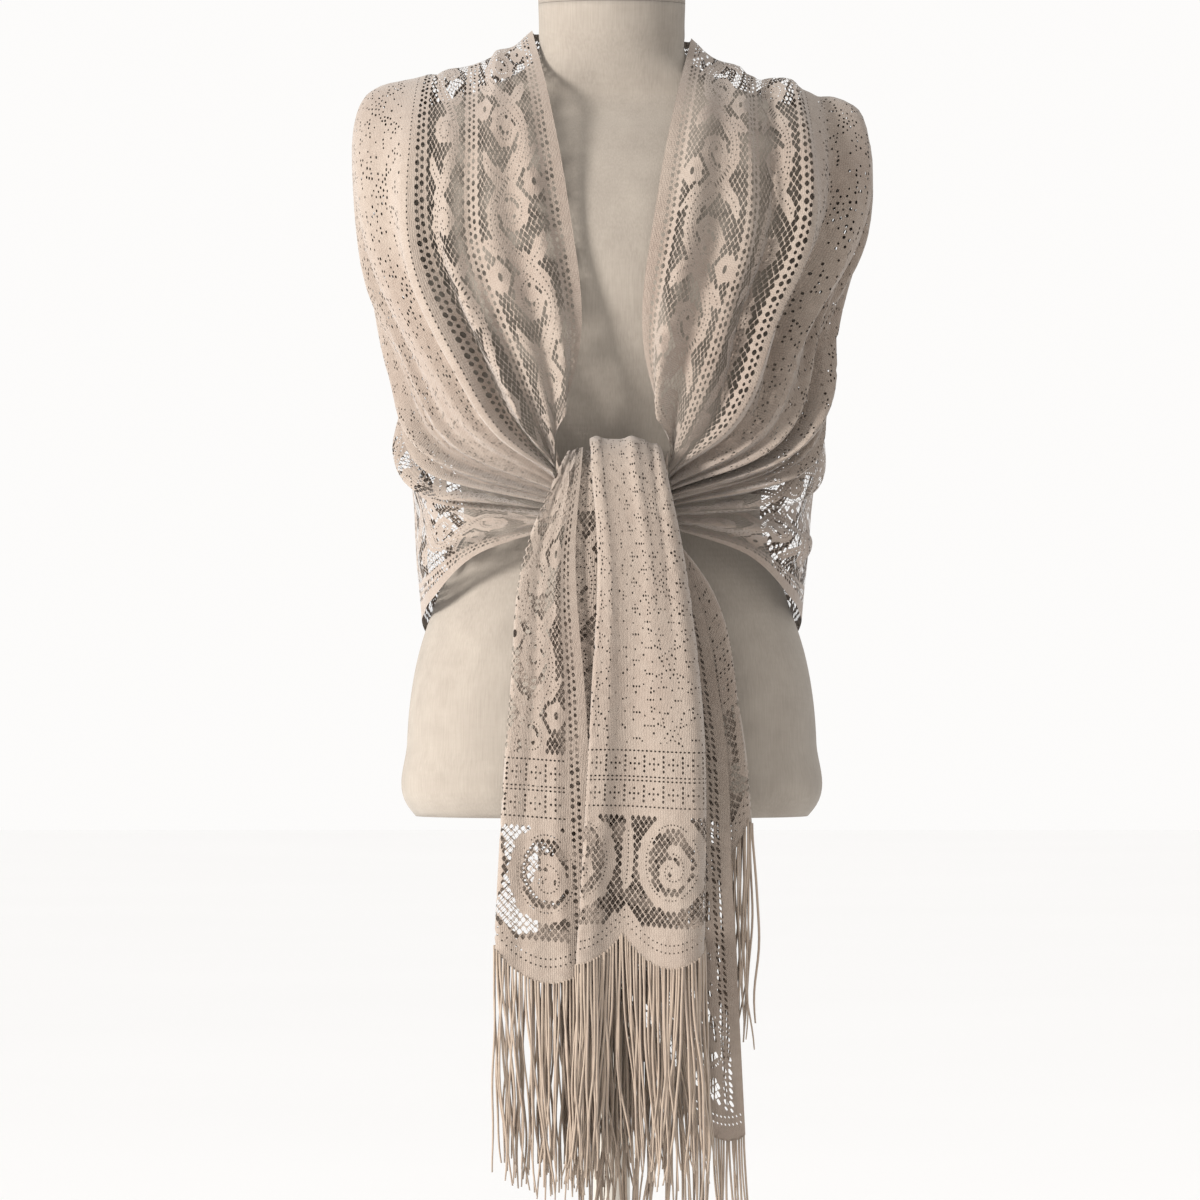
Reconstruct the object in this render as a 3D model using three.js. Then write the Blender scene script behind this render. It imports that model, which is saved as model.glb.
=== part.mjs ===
// A rectangular lace shawl, worn over the shoulders and tied at the waist, on a limbless dress form and stand.
// Millimetres, +Z up, the front towards -Y. The origin is the middle of the underside of the base.
import * as THREE from 'three';

// ---- driving dimensions -------------------------------------------------------------------------------
const CLOTH = 1.6;           // thickness of the lace wall
const SEAM = 0.35;           // clearance between neighbouring pieces
const FRINGE_GAP = 1.6;      // clearance between the slanting end of a tail and its fringe
const FRINGE = 175;          // length of the fringe
const SCALLOPS = 7;          // scallops along each end of the shawl
const SCALLOP_DEPTH = 27;    // valley to tip
const LEAN = 0.05;           // slope of the shoulders, the left one higher
const KNOT_X = 46;           // half the distance between the two gathered stretches
const KNOT_Y = -132;         // the knot's axis, in front of the waist
const KNOT_Z = 1069;
const BASE_RADIUS = 175;
const BASE_THICK = 14;
const POLE_RADIUS = 15;
const FORM_BOTTOM = 800;     // underside of the torso
const NECK_SEAM = 1462;      // where the neck cap meets the torso

// ---- the wrap: cross-sections from the neck edge to the lower edge -------------------------------------
// How far across the shawl each point of a section lies, 0 at the neck edge and 1 at the lower edge.
const ACROSS = [0, 0.08, 0.16, 0.28, 0.4, 0.52, 0.76, 0.86, 1];
// One row for each section of the right half, by how far round it is, 0 at mid-back and 1 at the knot.
const SECTIONS = [
  { round: 0, name: 'mid-back', points: [[0, 68, 1438], [0, 91, 1398], [0, 104, 1357], [0, 114, 1296],
    [0, 118, 1234], [0, 118, 1172], [0, 117, 1049], [0, 117, 998], [0, 119, 927]] },
  { round: 0.2, name: 'back', points: [[50, 49, 1438], [66, 66, 1408], [92, 78, 1378], [124, 87, 1330],
    [154, 88, 1278], [160, 92, 1208], [144, 91, 1072], [137, 91, 1008], [131, 92, 934]] },
  { round: 0.33, name: 'shoulder blade', points: [[63, 26, 1436], [82, 38, 1415], [106, 48, 1402],
    [146, 55, 1384], [192, 52, 1352], [201, 52, 1270], [172, 54, 1128], [158, 55, 1040], [150, 56, 946]] },
  { round: 0.45, name: 'shoulder', points: [[64, 2, 1434], [85, 4, 1419], [110, 5, 1408], [154, 5, 1398],
    [204, 3, 1378], [211, 0, 1313], [181, 4, 1168], [165, 6, 1064], [155, 8, 958]] },
  { round: 0.57, name: 'upper chest', points: [[51, -63, 1381], [80, -71, 1367], [110, -73, 1350],
    [158, -63, 1342], [205, -36, 1327], [205, -32, 1262], [175, -32, 1140], [160, -30, 1058],
    [152, -30, 966]] },
  { round: 0.7, name: 'chest', points: [[36, -101, 1300], [72, -110, 1284], [107, -114, 1258],
    [153, -99, 1250], [186, -66, 1240], [188, -58, 1196], [164, -62, 1100], [152, -60, 1050],
    [146, -62, 976]] },
  { round: 0.87, name: 'above the knot', points: [[25, -126, 1184], [46, -134, 1160], [66, -137, 1142],
    [97, -130, 1130], [122, -114, 1118], [138, -104, 1102], [124, -106, 1064], [110, -108, 1046],
    [106, -106, 1014]] },
  { round: 1, name: 'knot', points: [[46, -128, 1101], [46, -131, 1093], [46, -132, 1086], [46, -132, 1078],
    [46, -132, 1070], [46, -132, 1063], [46, -131, 1050], [46, -130, 1044], [46, -128, 1034]] },
];
// Soft folds of the wrap: which side, how far across they start and end, how far round they run, their height.
const FOLDS = [
  { side: -1, from: 0.1, to: 0.12, start: 0.36, end: 0.62, height: 4, width: 0.025 },
  { side: -1, from: 0.8, to: 0.78, start: 0.4, end: 1.05, height: 8, width: 0.035 },
  { side: -1, from: 0.87, to: 0.86, start: 0.42, end: 1.05, height: -6, width: 0.03 },
  { side: -1, from: 0.62, to: 0.64, start: 0.6, end: 1.05, height: 6, width: 0.04 },
  { side: -1, from: 0.3, to: 0.36, start: 0.7, end: 1.05, height: 5, width: 0.035 },
  { side: 1, from: 0.13, to: 0.2, start: 0.34, end: 0.95, height: 6, width: 0.028 },
  { side: 1, from: 0.25, to: 0.32, start: 0.34, end: 1.02, height: 9, width: 0.03 },
  { side: 1, from: 0.38, to: 0.46, start: 0.42, end: 1.02, height: 8, width: 0.03 },
  { side: 1, from: 0.5, to: 0.6, start: 0.48, end: 1.05, height: 9, width: 0.032 },
  { side: 1, from: 0.64, to: 0.72, start: 0.5, end: 1.05, height: 8, width: 0.032 },
  { side: 1, from: 0.82, to: 0.83, start: 0.4, end: 1.05, height: 8, width: 0.035 },
  { side: 1, from: 0.88, to: 0.89, start: 0.45, end: 1.05, height: -6, width: 0.03 },
  { side: -1, from: 0.34, to: 0.5, start: 0.02, end: 0.36, height: 6, width: 0.05 },
  { side: 1, from: 0.3, to: 0.44, start: 0.02, end: 0.38, height: 7, width: 0.05 },
  { side: 1, from: 0.62, to: 0.7, start: 0.05, end: 0.42, height: 5, width: 0.05 },
];
// How far the outline is drawn in on each side, around which height and over how much of it.
const DRAWN_IN = {
  left: { by: 10, z: 1150, height: 60 }, right: { by: 22, z: 1200, height: 68 }, from: 60, to: 160,
};
const GATHER = { pleats: 5, height: 4.5, from: 0.8 };
const KNOT_CLEARANCE = { from: 0.86, to: 0.98 };   // how far round the stretches draw apart to pass the knot

// ---- the tails: pleated runs of cloth ------------------------------------------------------------------
// One row for each turn between two runs. across: 0 at the near free edge of the shawl and 1 at the far one.
// x: at the four levels. depth: how far forward the run that starts here lies. drop: how much lower it ends.
const FRONT_TAIL = {
  levels: [0, 75, 200, 425],
  spread: [0.5, 0.9, 1, 1.15],
  end: 708,
  turns: [
    { across: 0, x: [-23, -29, -21, -8], depth: 10, drop: 14 },
    { across: 0.143, x: [-36, -68, -82, -96], depth: 4, drop: 6 },
    { across: 0.27, x: [-2, 0, 0, -6], depth: 16, drop: 0 },
    { across: 0.357, x: [-18, -12, -17, -30], depth: 22, drop: -4 },
    { across: 0.56, x: [40, 56, 72, 74], depth: -3, drop: 0 },
    { across: 0.78, x: [-20, -40, -55, -60], depth: -9, drop: -10 },
    { across: 1, x: [30, 45, 58, 62], depth: -9, drop: -20 },
  ],
  trough: { across: 0.429, width: 0.04, depth: [1, 1, 6, 10] },
};
const REAR_TAIL = {
  levels: [0, 40, 150, 300, 510],
  spread: [0.5, 0.7, 0.9, 1, 1],
  end: 548,
  slant: 440,
  turns: [
    { across: 0, x: [40, 62, 88, 97, 108], depth: 14, drop: 0 },
    { across: 0.28, x: [-34, -44, -48, -42, -24], depth: 7, drop: 0 },
    { across: 0.58, x: [42, 74, 103, 115, 118], depth: 0, drop: 0 },
    { across: 0.8, x: [-24, -26, -22, 0, 0], depth: -6, drop: 0 },
    { across: 1, x: [30, 50, 68, 78, 80], depth: -6, drop: 0 },
  ],
  trough: { across: 0.1, width: 0.03, depth: [0, 0, 2, 3, 3] },
};
const TURN_SHARE = 0.012;    // half of what a turn takes of the width
const FRONT_TAIL_Y = -158;   // the plane of depth 0 of each tail
const REAR_TAIL_Y = -122;
const WRAP_RADIUS = KNOT_Y - FRONT_TAIL_Y;
const WRAP_START = 160;      // degrees behind which the front tail comes out of the knot
const WRAP_SHARE = 0.25;     // share of the front tail's rows that go over the knot
const REAR_TAIL_TOP = 1035.3;

// ---- the dress form ------------------------------------------------------------------------------------
// One row for each ring: height, half width, reach to the front and to the back.
const RINGS = [
  [800, 160, 96, 108], [806, 165, 100, 112], [860, 167, 105, 115], [930, 158, 103, 110], [985, 140, 96, 97],
  [1040, 121, 84, 80], [1100, 132, 90, 84], [1160, 150, 100, 92], [1220, 165, 106, 100],
  [1270, 175, 100, 102], [1315, 187, 82, 97], [1342, 193, 66, 89], [1359, 187, 54, 76], [1371, 169, 43, 64],
  [1380, 146, 37, 56], [1387, 122, 34, 53], [1394, 101, 35, 53], [1405, 78, 38, 54], [1420, 61.2, 42, 56],
  [1438, 59.6, 48, 58], [NECK_SEAM, 60, 49, 58],
];
const NECK_RINGS = [
  [NECK_SEAM + SEAM, 60, 49, 58], [1494, 59, 48, 57], [1499, 56, 45, 54], [1500, 52, 41, 50],
];
const SQUARENESS = { body: 2.4, neck: 2.05, from: 1385, to: 1425 };  // exponent of the rings: 2 is an ellipse
const BUST = { x: 84, z: 1222, reach: 12, width: 46, height: 52 };

// ---- curves --------------------------------------------------------------------------------------------
const clamp = (x, low, high) => Math.min(high, Math.max(low, x));
const ease = (x) => { const s = clamp(x, 0, 1); return s * s * (3 - 2 * s); };

// A smooth curve through values at keys.
function curve(keys, values, x) {
  const last = keys.length - 1;
  const at = clamp(x, keys[0], keys[last]);
  let i = 0;
  while (i < last - 1 && at > keys[i + 1]) i += 1;
  const slope = (k) => {
    if (k === 0) return (values[1] - values[0]) / (keys[1] - keys[0]);
    if (k === last) return (values[last] - values[last - 1]) / (keys[last] - keys[last - 1]);
    const before = (values[k] - values[k - 1]) / (keys[k] - keys[k - 1]);
    const after = (values[k + 1] - values[k]) / (keys[k + 1] - keys[k]);
    const share = (keys[k + 1] - keys[k]) / (keys[k + 1] - keys[k - 1]);
    return before * share + after * (1 - share);
  };
  const span = keys[i + 1] - keys[i];
  const u = (at - keys[i]) / span;
  const [a, b] = [values[i], values[i + 1]];
  const [p, q] = [slope(i) * span, slope(i + 1) * span];
  return a + u * (p + u * (3 * (b - a) - 2 * p - q + u * (2 * (a - b) + p + q)));
}

// Evenly spaced numbers, both ends included.
const steps = (from, to, count) => Array.from({ length: count + 1 }, (_, i) => from + ((to - from) * i) / count);

// ---- solids --------------------------------------------------------------------------------------------
// The unit normal of a surface point(u, v).
function normalAt(point, u, v) {
  const small = 0.002;
  const alongU = point(u + small, v).sub(point(u - small, v));
  const alongV = point(u, v + small).sub(point(u, v - small));
  return alongU.cross(alongV).normalize();
}

function geometryOf(vertices, faces) {
  const geometry = new THREE.BufferGeometry();
  geometry.setAttribute('position', new THREE.Float32BufferAttribute(vertices.flatMap((v) => v.toArray()), 3));
  geometry.setIndex(faces.flat());
  return geometry;
}

const signedVolume = (vertices, faces) => faces.reduce(
  (sum, [a, b, c]) => sum + vertices[a].dot(vertices[b].clone().cross(vertices[c])), 0) / 6;

// A closed wall of the cloth's thickness on the surface point(u, v).
function wall(point, us, vs) {
  const vertices = [];
  [0.5, -0.5].forEach((side) => us.forEach((u) => vs.forEach((v) => {
    vertices.push(point(u, v).addScaledVector(normalAt(point, u, v), side * CLOTH));
  })));
  const rows = us.length;
  const columns = vs.length;
  const outer = (i, j) => i * columns + j;
  const inner = (i, j) => rows * columns + outer(i, j);
  const faces = [];
  const quad = (a, b, c, d) => faces.push([a, b, c], [a, c, d]);
  for (let i = 0; i < rows - 1; i += 1) {
    for (let j = 0; j < columns - 1; j += 1) {
      quad(outer(i, j), outer(i + 1, j), outer(i + 1, j + 1), outer(i, j + 1));
      quad(inner(i, j), inner(i, j + 1), inner(i + 1, j + 1), inner(i + 1, j));
    }
    const end = columns - 1;
    quad(outer(i, 0), inner(i, 0), inner(i + 1, 0), outer(i + 1, 0));
    quad(outer(i, end), outer(i + 1, end), inner(i + 1, end), inner(i, end));
  }
  for (let j = 0; j < columns - 1; j += 1) {
    const end = rows - 1;
    quad(outer(0, j), outer(0, j + 1), inner(0, j + 1), inner(0, j));
    quad(outer(end, j), inner(end, j), inner(end, j + 1), outer(end, j + 1));
  }
  return outward(vertices, faces);
}

// A solid through rings of points, closed by a fan at each end.
function loft(rings) {
  const around = rings[0].length;
  const vertices = rings.flat();
  const faces = [];
  for (let i = 0; i < rings.length - 1; i += 1) {
    for (let j = 0; j < around; j += 1) {
      const next = (j + 1) % around;
      faces.push([i * around + j, i * around + next, (i + 1) * around + next]);
      faces.push([i * around + j, (i + 1) * around + next, (i + 1) * around + j]);
    }
  }
  const last = (rings.length - 1) * around;
  for (let j = 1; j < around - 1; j += 1) {
    faces.push([0, j + 1, j]);
    faces.push([last, last + j, last + j + 1]);
  }
  return outward(vertices, faces);
}

function outward(vertices, faces) {
  const turned = signedVolume(vertices, faces) < 0 ? faces.map(([a, b, c]) => [a, c, b]) : faces;
  return geometryOf(vertices, turned);
}

// ---- the wrap's surface ----------------------------------------------------------------------------------
const ROUND = [...SECTIONS.slice(1).reverse().map((s) => -s.round), ...SECTIONS.map((s) => s.round)];
const GUIDES = ACROSS.map((_, k) => {
  const mirrored = SECTIONS.slice(1).reverse().map(({ points }) => [-points[k][0], points[k][1], points[k][2]]);
  const guide = [...mirrored, ...SECTIONS.map(({ points }) => points[k])];
  return [0, 1, 2].map((axis) => guide.map((p) => p[axis]));
});

function plainWrap(round, across) {
  const [x, y, z] = [0, 1, 2].map((axis) => curve(ACROSS, GUIDES.map((g) => curve(ROUND, g[axis], round)), across));
  const { by, z: middle, height } = x < 0 ? DRAWN_IN.left : DRAWN_IN.right;
  const outer = ease((Math.abs(x) - DRAWN_IN.from) / (DRAWN_IN.to - DRAWN_IN.from));
  const drawn = by * outer * Math.exp(-(((z - middle) / height) ** 2));
  return new THREE.Vector3(x - Math.sign(x) * drawn, y, z - LEAN * x * (1 - across));
}

// How far the folds and the gathers lift the wrap off its plain surface.
function foldHeight(round, across) {
  const far = Math.abs(round);
  const side = Math.sign(round);
  const pleats = GATHER.height * ease((far - GATHER.from) / (1 - GATHER.from))
    * Math.sin(2 * Math.PI * GATHER.pleats * across + side);
  return FOLDS.filter((f) => f.side === side).reduce((sum, f) => {
    const along = (far - f.start) / (f.end - f.start);
    if (along <= 0 || along >= 1) return sum;
    const middle = f.from + (f.to - f.from) * along;
    return sum + f.height * Math.sin(Math.PI * along) * Math.exp(-(((across - middle) / f.width) ** 2));
  }, pleats);
}

function wrap(round, across) {
  const inside = clamp(across, 0.002, 0.998);
  const lift = foldHeight(round, across) * ease(across / 0.05) * ease((1 - across) / 0.05);
  const point = plainWrap(round, across);
  point.addScaledVector(normalAt(plainWrap, clamp(round, -0.997, 0.997), inside), lift);
  const { from, to } = KNOT_CLEARANCE;
  const least = KNOT_X * ease((Math.abs(round) - from) / (to - from));
  if (Math.abs(point.x) < least) point.x = Math.sign(round) * least;
  return point;
}

// ---- a tail's surface ----------------------------------------------------------------------------------
// Where a point of the pleated section lies: x across the body and depth forward, at a level below the top.
function pleated(tail, across, level) {
  const at = (values) => curve(tail.levels, values, level);
  const spread = at(tail.spread);
  const turns = tail.turns.map((turn, k) => {
    const before = tail.turns[k - 1];
    const depth = turn.depth * spread;
    const inner = k > 0 && k < tail.turns.length - 1;
    const rise = inner ? (depth - before.depth * spread) / 2 : 0;
    const x = at(turn.x);
    const side = before ? Math.sign(x - at(before.x)) : 0;
    return { x, depth, rise, half: inner ? TURN_SHARE : 0, middle: turn.across, edge: x - side * Math.abs(rise), side };
  });
  let k = 0;
  while (k < turns.length - 2 && across > turns[k + 1].middle) k += 1;
  const near = turns.slice(k, k + 2).find((t) => t.half > 0 && Math.abs(across - t.middle) < t.half);
  if (near) {
    const angle = ((across - near.middle) / near.half) * (Math.PI / 2);
    return { x: near.edge + near.side * Math.abs(near.rise) * Math.cos(angle),
      depth: near.depth - near.rise + near.rise * Math.sin(angle) };
  }
  const [a, b] = [turns[k], turns[k + 1]];
  const share = (across - a.middle - a.half) / (b.middle - b.half - a.middle - a.half);
  const { trough } = tail;
  const dip = at(trough.depth) * Math.exp(-(((across - trough.across) / trough.width) ** 2));
  return { x: a.edge + (b.edge - a.edge) * share, depth: a.depth - dip };
}

// The height at which the scalloped end lies.
function endOf(tail, across) {
  const drops = tail.turns.map((turn) => turn.drop);
  const even = curve(tail.turns.map((turn) => turn.across), drops, across);
  const scallop = SCALLOP_DEPTH * Math.abs(Math.sin(Math.PI * SCALLOPS * across)) ** 0.8;
  return tail.end + (tail.slant ?? 0) * across - even - scallop;
}

function frontTail(across, down) {
  if (down < WRAP_SHARE) {
    const angle = THREE.MathUtils.degToRad(WRAP_START * (1 - down / WRAP_SHARE));
    const level = down > 0 ? Math.max(0, 1 - Math.sin(angle)) * (angle < Math.PI / 2 ? 1 : 0) * WRAP_RADIUS : 0;
    const { x, depth } = pleated(FRONT_TAIL, across, level);
    const radius = WRAP_RADIUS + depth;
    return new THREE.Vector3(x, KNOT_Y - radius * Math.cos(angle), KNOT_Z + radius * Math.sin(angle));
  }
  const z = KNOT_Z + (endOf(FRONT_TAIL, across) - KNOT_Z) * ((down - WRAP_SHARE) / (1 - WRAP_SHARE));
  const { x, depth } = pleated(FRONT_TAIL, across, WRAP_RADIUS + KNOT_Z - z);
  return new THREE.Vector3(x, FRONT_TAIL_Y - depth, z);
}

function rearTail(across, down) {
  const z = REAR_TAIL_TOP + (endOf(REAR_TAIL, across) - REAR_TAIL_TOP) * down;
  const { x, depth } = pleated(REAR_TAIL, across, REAR_TAIL_TOP - z);
  return new THREE.Vector3(x, REAR_TAIL_Y - depth - 8 * (1 - ease(down * 4)), z);
}

// The fringe hangs on straight below the end of its tail.
const fringeOf = (tail, ended) => (across, down) => {
  const top = ended(across, 1);
  return new THREE.Vector3(top.x, top.y, endOf(tail, across) - FRINGE_GAP - FRINGE * down);
};

// Where the pleats and the scallops need points across the shawl.
function samplesAcross(tail) {
  const turns = tail.turns.slice(1, -1).flatMap(({ across }) => [across - TURN_SHARE, across, across + TURN_SHARE]);
  const scallops = steps(0, 1, 2 * SCALLOPS);
  const far = scallops.filter((s) => turns.every((t) => Math.abs(s - t) > 0.6 * TURN_SHARE));
  return [...far, ...turns].sort((a, b) => a - b);
}

// ---- the form ------------------------------------------------------------------------------------------
const AROUND = 32;

function ring([z, half, front, back]) {
  const { body, neck, from, to } = SQUARENESS;
  const squareness = body + (neck - body) * ease((z - from) / (to - from));
  return steps(0, 2 * Math.PI, AROUND).slice(0, -1).map((angle) => {
    const [c, s] = [Math.cos(angle), Math.sin(angle)];
    const round = (value) => Math.sign(value) * Math.abs(value) ** (2 / squareness);
    const x = half * round(c);
    const swell = s < 0 ? BUST.reach * Math.exp(-(((Math.abs(x) - BUST.x) / BUST.width) ** 2)
      - (((z - BUST.z) / BUST.height) ** 2)) * Math.abs(s) : 0;
    return new THREE.Vector3(x, (s < 0 ? front : back) * round(s) - swell, z);
  });
}

const KNOT_END = KNOT_X - 1.3;

// The knot's hidden layers, a bundle of oval sections between the two gathered stretches.
const KNOT_SECTIONS = [
  { x: -KNOT_END, z: 1067, high: 30, thick: 9 },
  { x: -41, z: 1061, high: 25.5, thick: 12 },
  { x: 0, z: 1062, high: 26.3, thick: 16 },
  { x: 41, z: 1061, high: 25.5, thick: 12 },
  { x: KNOT_END, z: 1067, high: 30, thick: 9 },
];

function knotRing({ x, z, high, thick }) {
  return steps(0, 2 * Math.PI, 16).slice(0, -1).map((angle) => (
    new THREE.Vector3(x, KNOT_Y + thick * Math.cos(angle), z + high * Math.sin(angle))));
}

// A turned solid standing upright, from its radius and height pairs.
function turned(profile) {
  const points = [[0, profile[0][1]], ...profile, [0, profile.at(-1)[1]]].map(([r, z]) => new THREE.Vector2(r, z));
  return new THREE.LatheGeometry(points, 40).rotateX(Math.PI / 2);
}

// ---- the object ------------------------------------------------------------------------------------------
const lace = (tint) => new THREE.MeshStandardMaterial({ color: tint, roughness: 0.85, metalness: 0 });
const linen = new THREE.MeshStandardMaterial({ color: 0xc0b4a6, roughness: 0.9, metalness: 0 });
const paint = new THREE.MeshStandardMaterial({ color: 0xd8d4cc, roughness: 0.45, metalness: 0.1 });

const shawl = new THREE.Group();
const form = new THREE.Group();
const part = new THREE.Group();
part.add(shawl, form);

function add(group, name, geometry, material) {
  const mesh = new THREE.Mesh(geometry, material);
  mesh.name = name;
  group.add(mesh);
}

const SHOULDER_SEAM = 0.45;
const HALF_SEAM = 0.0005;
const acrossWrap = steps(0, 1, 24);
const roundFronts = steps(SHOULDER_SEAM + HALF_SEAM, 1, 11);
add(shawl, 'shawl_back', wall(wrap, steps(HALF_SEAM - SHOULDER_SEAM, SHOULDER_SEAM - HALF_SEAM, 14), acrossWrap),
  lace(0xcdbeb0));
add(shawl, 'shawl_left_front', wall(wrap, roundFronts.map((t) => -t).reverse(), acrossWrap), lace(0xd2c3b4));
add(shawl, 'shawl_right_front', wall(wrap, roundFronts, acrossWrap), lace(0xc8b8a9));
add(shawl, 'shawl_knot', loft(KNOT_SECTIONS.map(knotRing)), lace(0xc8b8a9));

const frontSamples = samplesAcross(FRONT_TAIL);
const rearSamples = samplesAcross(REAR_TAIL);
const overKnot = steps(0, WRAP_SHARE, 4);
add(shawl, 'shawl_front_tail', wall(frontTail, frontSamples, [...overKnot, ...steps(0.33, 1, 6)]), lace(0xd2c3b4));
add(shawl, 'shawl_rear_tail', wall(rearTail, rearSamples, steps(0, 1, 8)), lace(0xbcab9c));
add(shawl, 'front_fringe', wall(fringeOf(FRONT_TAIL, frontTail), frontSamples, [0, 1]), lace(0xb8a593));
add(shawl, 'rear_fringe', wall(fringeOf(REAR_TAIL, rearTail), rearSamples, [0, 1]), lace(0xa89482));

add(form, 'form_torso', loft(RINGS.map(ring)), linen);
add(form, 'form_neck_cap', loft(NECK_RINGS.map(ring)), linen);
const flange = FORM_BOTTOM - SEAM;
const flangeFoot = flange - 14;
add(form, 'form_collar', turned([[22, flangeFoot], [24, flange - 6], [46, flange - 4], [46, flange]]), paint);
add(form, 'form_pole', turned([[POLE_RADIUS, BASE_THICK + SEAM], [POLE_RADIUS, flangeFoot - SEAM]]), paint);
add(form, 'form_base', turned([[BASE_RADIUS - 2, 0], [BASE_RADIUS, 2], [BASE_RADIUS, BASE_THICK - 4],
  [BASE_RADIUS - 4, BASE_THICK]]), paint);

export default part;
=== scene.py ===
import math

import bpy
import numpy as np
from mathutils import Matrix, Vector
from mathutils.geometry import delaunay_2d_cdt


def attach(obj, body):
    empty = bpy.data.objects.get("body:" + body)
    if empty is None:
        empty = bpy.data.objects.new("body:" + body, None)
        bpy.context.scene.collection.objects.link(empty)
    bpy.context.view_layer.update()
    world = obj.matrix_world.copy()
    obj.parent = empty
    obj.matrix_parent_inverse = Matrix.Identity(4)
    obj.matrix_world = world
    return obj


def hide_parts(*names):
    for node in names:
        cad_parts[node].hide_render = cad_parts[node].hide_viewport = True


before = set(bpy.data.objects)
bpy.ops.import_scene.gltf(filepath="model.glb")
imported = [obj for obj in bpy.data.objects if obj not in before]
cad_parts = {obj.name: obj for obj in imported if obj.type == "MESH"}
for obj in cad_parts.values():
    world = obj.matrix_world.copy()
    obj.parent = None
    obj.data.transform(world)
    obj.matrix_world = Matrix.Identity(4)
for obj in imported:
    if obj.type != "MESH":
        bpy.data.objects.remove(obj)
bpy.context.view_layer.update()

# A rectangular lace shawl tied on a dress form. Sizes are in millimetres until a mesh is made, with the same
# sections, folds and tails as the CAD model, in the same frame: +Z up and the front towards -Y.
MM = 0.001
SEED = 7
rng = np.random.default_rng(SEED)

# ---- driving sizes, as in the CAD model ----
FRINGE = 175
SCALLOPS = 7
STRANDS, IN_A_TUFT = 230, 6  # of the fringe on each end, and how many of them lean together
SCALLOP_DEPTH = 27
LEAN = 0.05
KNOT_X = 46
KNOT_Y = -132
KNOT_Z = 1069
BASE_RADIUS = 175
BASE_THICK = 14
POLE_RADIUS = 15
FORM_BOTTOM = 800
NECK_SEAM = 1462
SEAM = 0.35

# ---- the wrap: cross-sections from the neck edge to the lower edge ----
ACROSS = [0, 0.08, 0.16, 0.28, 0.4, 0.52, 0.76, 0.86, 1]
SECTIONS = {  # how far round, 0 at mid-back and 1 at the knot: a point for each value of ACROSS
    0: [(0, 68, 1438), (0, 91, 1398), (0, 104, 1357), (0, 114, 1296), (0, 118, 1234), (0, 118, 1172),
        (0, 117, 1049), (0, 117, 998), (0, 119, 927)],
    0.2: [(50, 49, 1438), (66, 66, 1408), (92, 78, 1378), (124, 87, 1330), (154, 88, 1278), (160, 92, 1208),
          (144, 91, 1072), (137, 91, 1008), (131, 92, 934)],
    0.33: [(63, 26, 1436), (82, 38, 1415), (106, 48, 1402), (146, 55, 1384), (192, 52, 1352), (201, 52, 1270),
           (172, 54, 1128), (158, 55, 1040), (150, 56, 946)],
    0.45: [(64, 2, 1434), (85, 4, 1419), (110, 5, 1408), (154, 5, 1398), (204, 3, 1378), (211, 0, 1313),
           (181, 4, 1168), (165, 6, 1064), (155, 8, 958)],
    0.57: [(51, -63, 1381), (80, -71, 1367), (110, -73, 1350), (158, -63, 1342), (205, -36, 1327),
           (205, -32, 1262), (175, -32, 1140), (160, -30, 1058), (152, -30, 966)],
    0.7: [(36, -101, 1300), (72, -110, 1284), (107, -114, 1258), (153, -99, 1250), (186, -66, 1240),
          (188, -58, 1196), (164, -62, 1100), (152, -60, 1050), (146, -62, 976)],
    0.87: [(25, -126, 1184), (46, -134, 1160), (66, -137, 1142), (97, -130, 1130), (122, -114, 1118),
           (138, -104, 1102), (124, -106, 1064), (110, -108, 1046), (106, -106, 1014)],
    1: [(46, -128, 1101), (46, -131, 1093), (46, -132, 1086), (46, -132, 1078), (46, -132, 1070),
        (46, -132, 1063), (46, -131, 1050), (46, -130, 1044), (46, -128, 1034)],
}
# Large folds, as in the CAD model: side, across from, across to, round from, round to, height, width.
FOLDS = [
    (-1, 0.1, 0.12, 0.36, 0.62, 4, 0.025), (-1, 0.8, 0.78, 0.4, 1.05, 8, 0.035),
    (-1, 0.87, 0.86, 0.42, 1.05, -6, 0.03), (-1, 0.62, 0.64, 0.6, 1.05, 6, 0.04),
    (-1, 0.3, 0.36, 0.7, 1.05, 5, 0.035), (1, 0.13, 0.2, 0.34, 0.95, 6, 0.028),
    (1, 0.25, 0.32, 0.34, 1.02, 9, 0.03), (1, 0.38, 0.46, 0.42, 1.02, 8, 0.03),
    (1, 0.5, 0.6, 0.48, 1.05, 9, 0.032), (1, 0.64, 0.72, 0.5, 1.05, 8, 0.032),
    (1, 0.82, 0.83, 0.4, 1.05, 8, 0.035), (1, 0.88, 0.89, 0.45, 1.05, -6, 0.03),
    (-1, 0.34, 0.5, 0.02, 0.36, 6, 0.05), (1, 0.3, 0.44, 0.02, 0.38, 7, 0.05),
    (1, 0.62, 0.7, 0.05, 0.42, 5, 0.05),
]
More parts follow.
